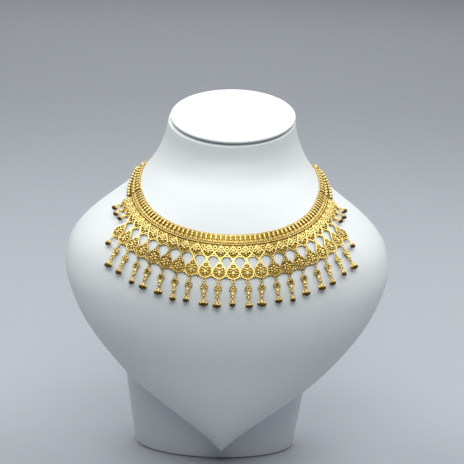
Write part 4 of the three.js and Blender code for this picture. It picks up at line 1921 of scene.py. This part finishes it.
@dataclass
class BackChain(Goldwork):
    """The fine chain from a strap to the clasp behind the neck."""

    side: int = 1
    link: float = 1.05 * MM
    link_wire: float = 0.3 * MM
    link_pitch: float = 1.55 * MM
    down: float = 4.3 * MM

    def build(self) -> Piece:
        """Builds the chain link by link, each turned a quarter against the last.

        Returns:
            The chain.
        """
        name = "chain_right" if self.side > 0 else "chain_left"
        start = self.layout.half + self.layout.strap + 2 * GAP
        end = (self.lie.length - HookClasp.length) / 2 - GAP
        count = round((end - start) / self.link_pitch)
        along = [self.side * (start + (end - start) * (i + 0.5) / count) for i in range(count)]
        frames = self.lie.seats(along, self.down).frames(GAP + self.link)
        link = ring(self.link, self.link_wire)
        with editing(link):
            bpy.ops.transform.resize(value=(1, 0.72, 1))
        turns = [Matrix.Rotation(math.radians(45 + 90 * (i % 2)), 4, "X") for i in range(count)]
        places = [place @ turn for place, turn in zip(frames, turns)]
        piece = joined(copies(link, places), f"links_{name}")
        return self.finishes.dress(piece, Slot.GOLD, name)


@dataclass
class HookClasp(Goldwork):
    """The plain clasp behind the neck."""

    length: float = 12 * MM
    radius: float = 1.8 * MM
    down: float = 4.3 * MM

    def build(self) -> Piece:
        """Turns a plain barrel with a collar at each end, and bends it round the neck.

        Returns:
            The clasp.
        """
        end = [(0, 1), (0.5, 1), (0.62, 0.95), (0.62, 0.86), (0.85, 0.8), (1, 0.6)]
        barrel = [(1, share) for share in (0.3, 0, -0.3)]
        profile = [*end, *barrel, *((share, -y) for share, y in reversed(end))]
        half = self.length / 2
        piece = turned_shape([(share * self.radius, y * half) for share, y in profile], 24)
        flat = points_of(piece)[:, [1, 0, 2]]
        flat[:, 0] = -flat[:, 0] + self.lie.length / 2
        flat[:, 1] -= self.down
        flat[:, 2] += GAP + self.radius
        move_points(piece, self.lie.drape(flat))
        evenly_marked(piece, 1.0).name = "barrel_clasp"
        with editing(piece):
            bpy.ops.mesh.normals_make_consistent(inside=False)
        return self.finishes.dress(piece, Slot.GOLD, "hook_clasp")


# ---------------------------------------------------------------- the studio
@dataclass(frozen=True)
class SoftBox:
    """A soft lamp: where it stands, its width and height, its power in watts and what it is turned to."""

    name: str
    place: tuple[float, float, float]
    size: tuple[float, float]
    power: float
    aim: tuple[float, float, float] = (0.0, 0.02, 0.15)


@dataclass
class Studio:
    """A pale floor, soft lamps and the camera, which looks at the target from a distance."""

    target: tuple[float, float, float]
    distance: float = 1.3
    azimuth: float = -0.5
    elevation: float = 16.0
    roll: float = 2.0
    lens: float = 128.65
    shift: tuple[float, float] = (0.011, 0.0782)
    floor_width: float = 12.0  # fills the picture
    floor_drop: float = 0.5 * MM  # below the foot
    floor_colour: Colour = (0.365, 0.385, 0.42, 1.0)
    floor_roughness: float = 0.85
    room_colour: Colour = (0.045, 0.047, 0.06, 1.0)
    lamps: tuple[SoftBox, ...] = (
        SoftBox("key", (0.0, -0.64, 1.21), (0.8, 0.8), 7.5),
        SoftBox("front_low", (0.0, -1.37, 1.12), (0.8, 0.8), 3.3),
        SoftBox("back_high", (0.0, 0.68, 1.21), (1.2, 0.8), 4.4),
        SoftBox("left_high", (-0.65, 0.13, 1.21), (0.8, 0.8), 5.2),
        SoftBox("right_high", (0.65, 0.13, 1.21), (0.8, 0.8), 5.4),
        SoftBox("left_back", (-0.89, 0.53, 0.87), (0.8, 0.8), 2.9),
        SoftBox("right_back", (0.89, 0.53, 0.87), (0.8, 0.8), 3.3),
        SoftBox("backdrop", (0.0, 2.3, 1.7), (3.0, 1.8), 34.0, aim=(0.0, 2.5, 0.0)),
    )

    def build(self) -> None:
        """Builds the floor, the lamps and the camera."""
        self.floor()
        for lamp in self.lamps:
            self.lamp(lamp)
        self.camera()
        world = bpy.data.worlds.new("room")
        world.use_nodes = True
        world.node_tree.nodes["Background"].inputs["Color"].default_value = self.room_colour
        bpy.context.scene.world = world
        bpy.context.scene.view_settings.view_transform = "Standard"

    def floor(self) -> None:
        """Lays the floor."""
        bpy.ops.mesh.primitive_plane_add(size=self.floor_width, location=(0, 0, -self.floor_drop))
        ground = newest("studio_floor")
        material = bpy.data.materials.new("pale_floor")
        material.use_nodes = True
        shader = material.node_tree.nodes["Principled BSDF"]
        shader.inputs["Base Color"].default_value = self.floor_colour
        shader.inputs["Roughness"].default_value = self.floor_roughness
        ground.data.materials.append(material)

    def lamp(self, box: SoftBox) -> None:
        """Hangs one soft lamp.

        Args:
            box: the lamp.
        """
        data = bpy.data.lights.new(box.name, "AREA")
        data.shape = "RECTANGLE"
        data.size, data.size_y = box.size
        data.energy = box.power
        lamp = bpy.data.objects.new(box.name, data)
        lamp.location = box.place
        away = Vector(box.place) - Vector(box.aim)
        lamp.rotation_euler = away.to_track_quat("Z", "Y").to_euler()
        bpy.context.scene.collection.objects.link(lamp)

    def camera(self) -> None:
        """Sets the camera up."""
        turn, rise, roll = (math.radians(a) for a in (self.azimuth, self.elevation, self.roll))
        back = Vector((math.sin(turn) * math.cos(rise), -math.cos(turn) * math.cos(rise), math.sin(rise)))
        right = Vector((math.cos(turn), math.sin(turn), 0))
        up = back.cross(right)
        rolled_right = right * math.cos(roll) + up * math.sin(roll)
        rolled_up = up * math.cos(roll) - right * math.sin(roll)
        data = bpy.data.cameras.new("camera")
        data.lens = self.lens
        data.shift_x, data.shift_y = self.shift
        camera = bpy.data.objects.new("camera", data)
        place = Vector(self.target) + back * self.distance
        camera.matrix_world = frame_of(rolled_right, rolled_up, back, place)
        bpy.context.scene.collection.objects.link(camera)
        bpy.context.scene.camera = camera


def main() -> None:
    """Builds the bust, the necklace and the studio."""
    logging.basicConfig(level=logging.INFO, format="%(name)s: %(message)s")
    low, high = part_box("neck_cap")
    offset = (low.y + high.y) / 2
    form = BustForm(offset)
    lie = NecklaceLie(form, BibLayout())
    LOG.info("inner edge of the necklace: %.1f mm", lie.length / MM)
    Studio(target=(0, offset - 10 * MM, 140 * MM)).build()
    finishes = Finishes()
    NeckBust(form, finishes).build()
    RibbedBand(lie, finishes).build()
    for side in (1, -1):
        ShoulderStrap(lie, finishes, side).build()
        BackChain(lie, finishes, side).build()
    RosetteRow(lie, finishes).build()
    PearRow(lie, finishes).build()
    Drops(lie, finishes).build()
    HookClasp(lie, finishes).build()


if __name__ == "__main__":
    main()
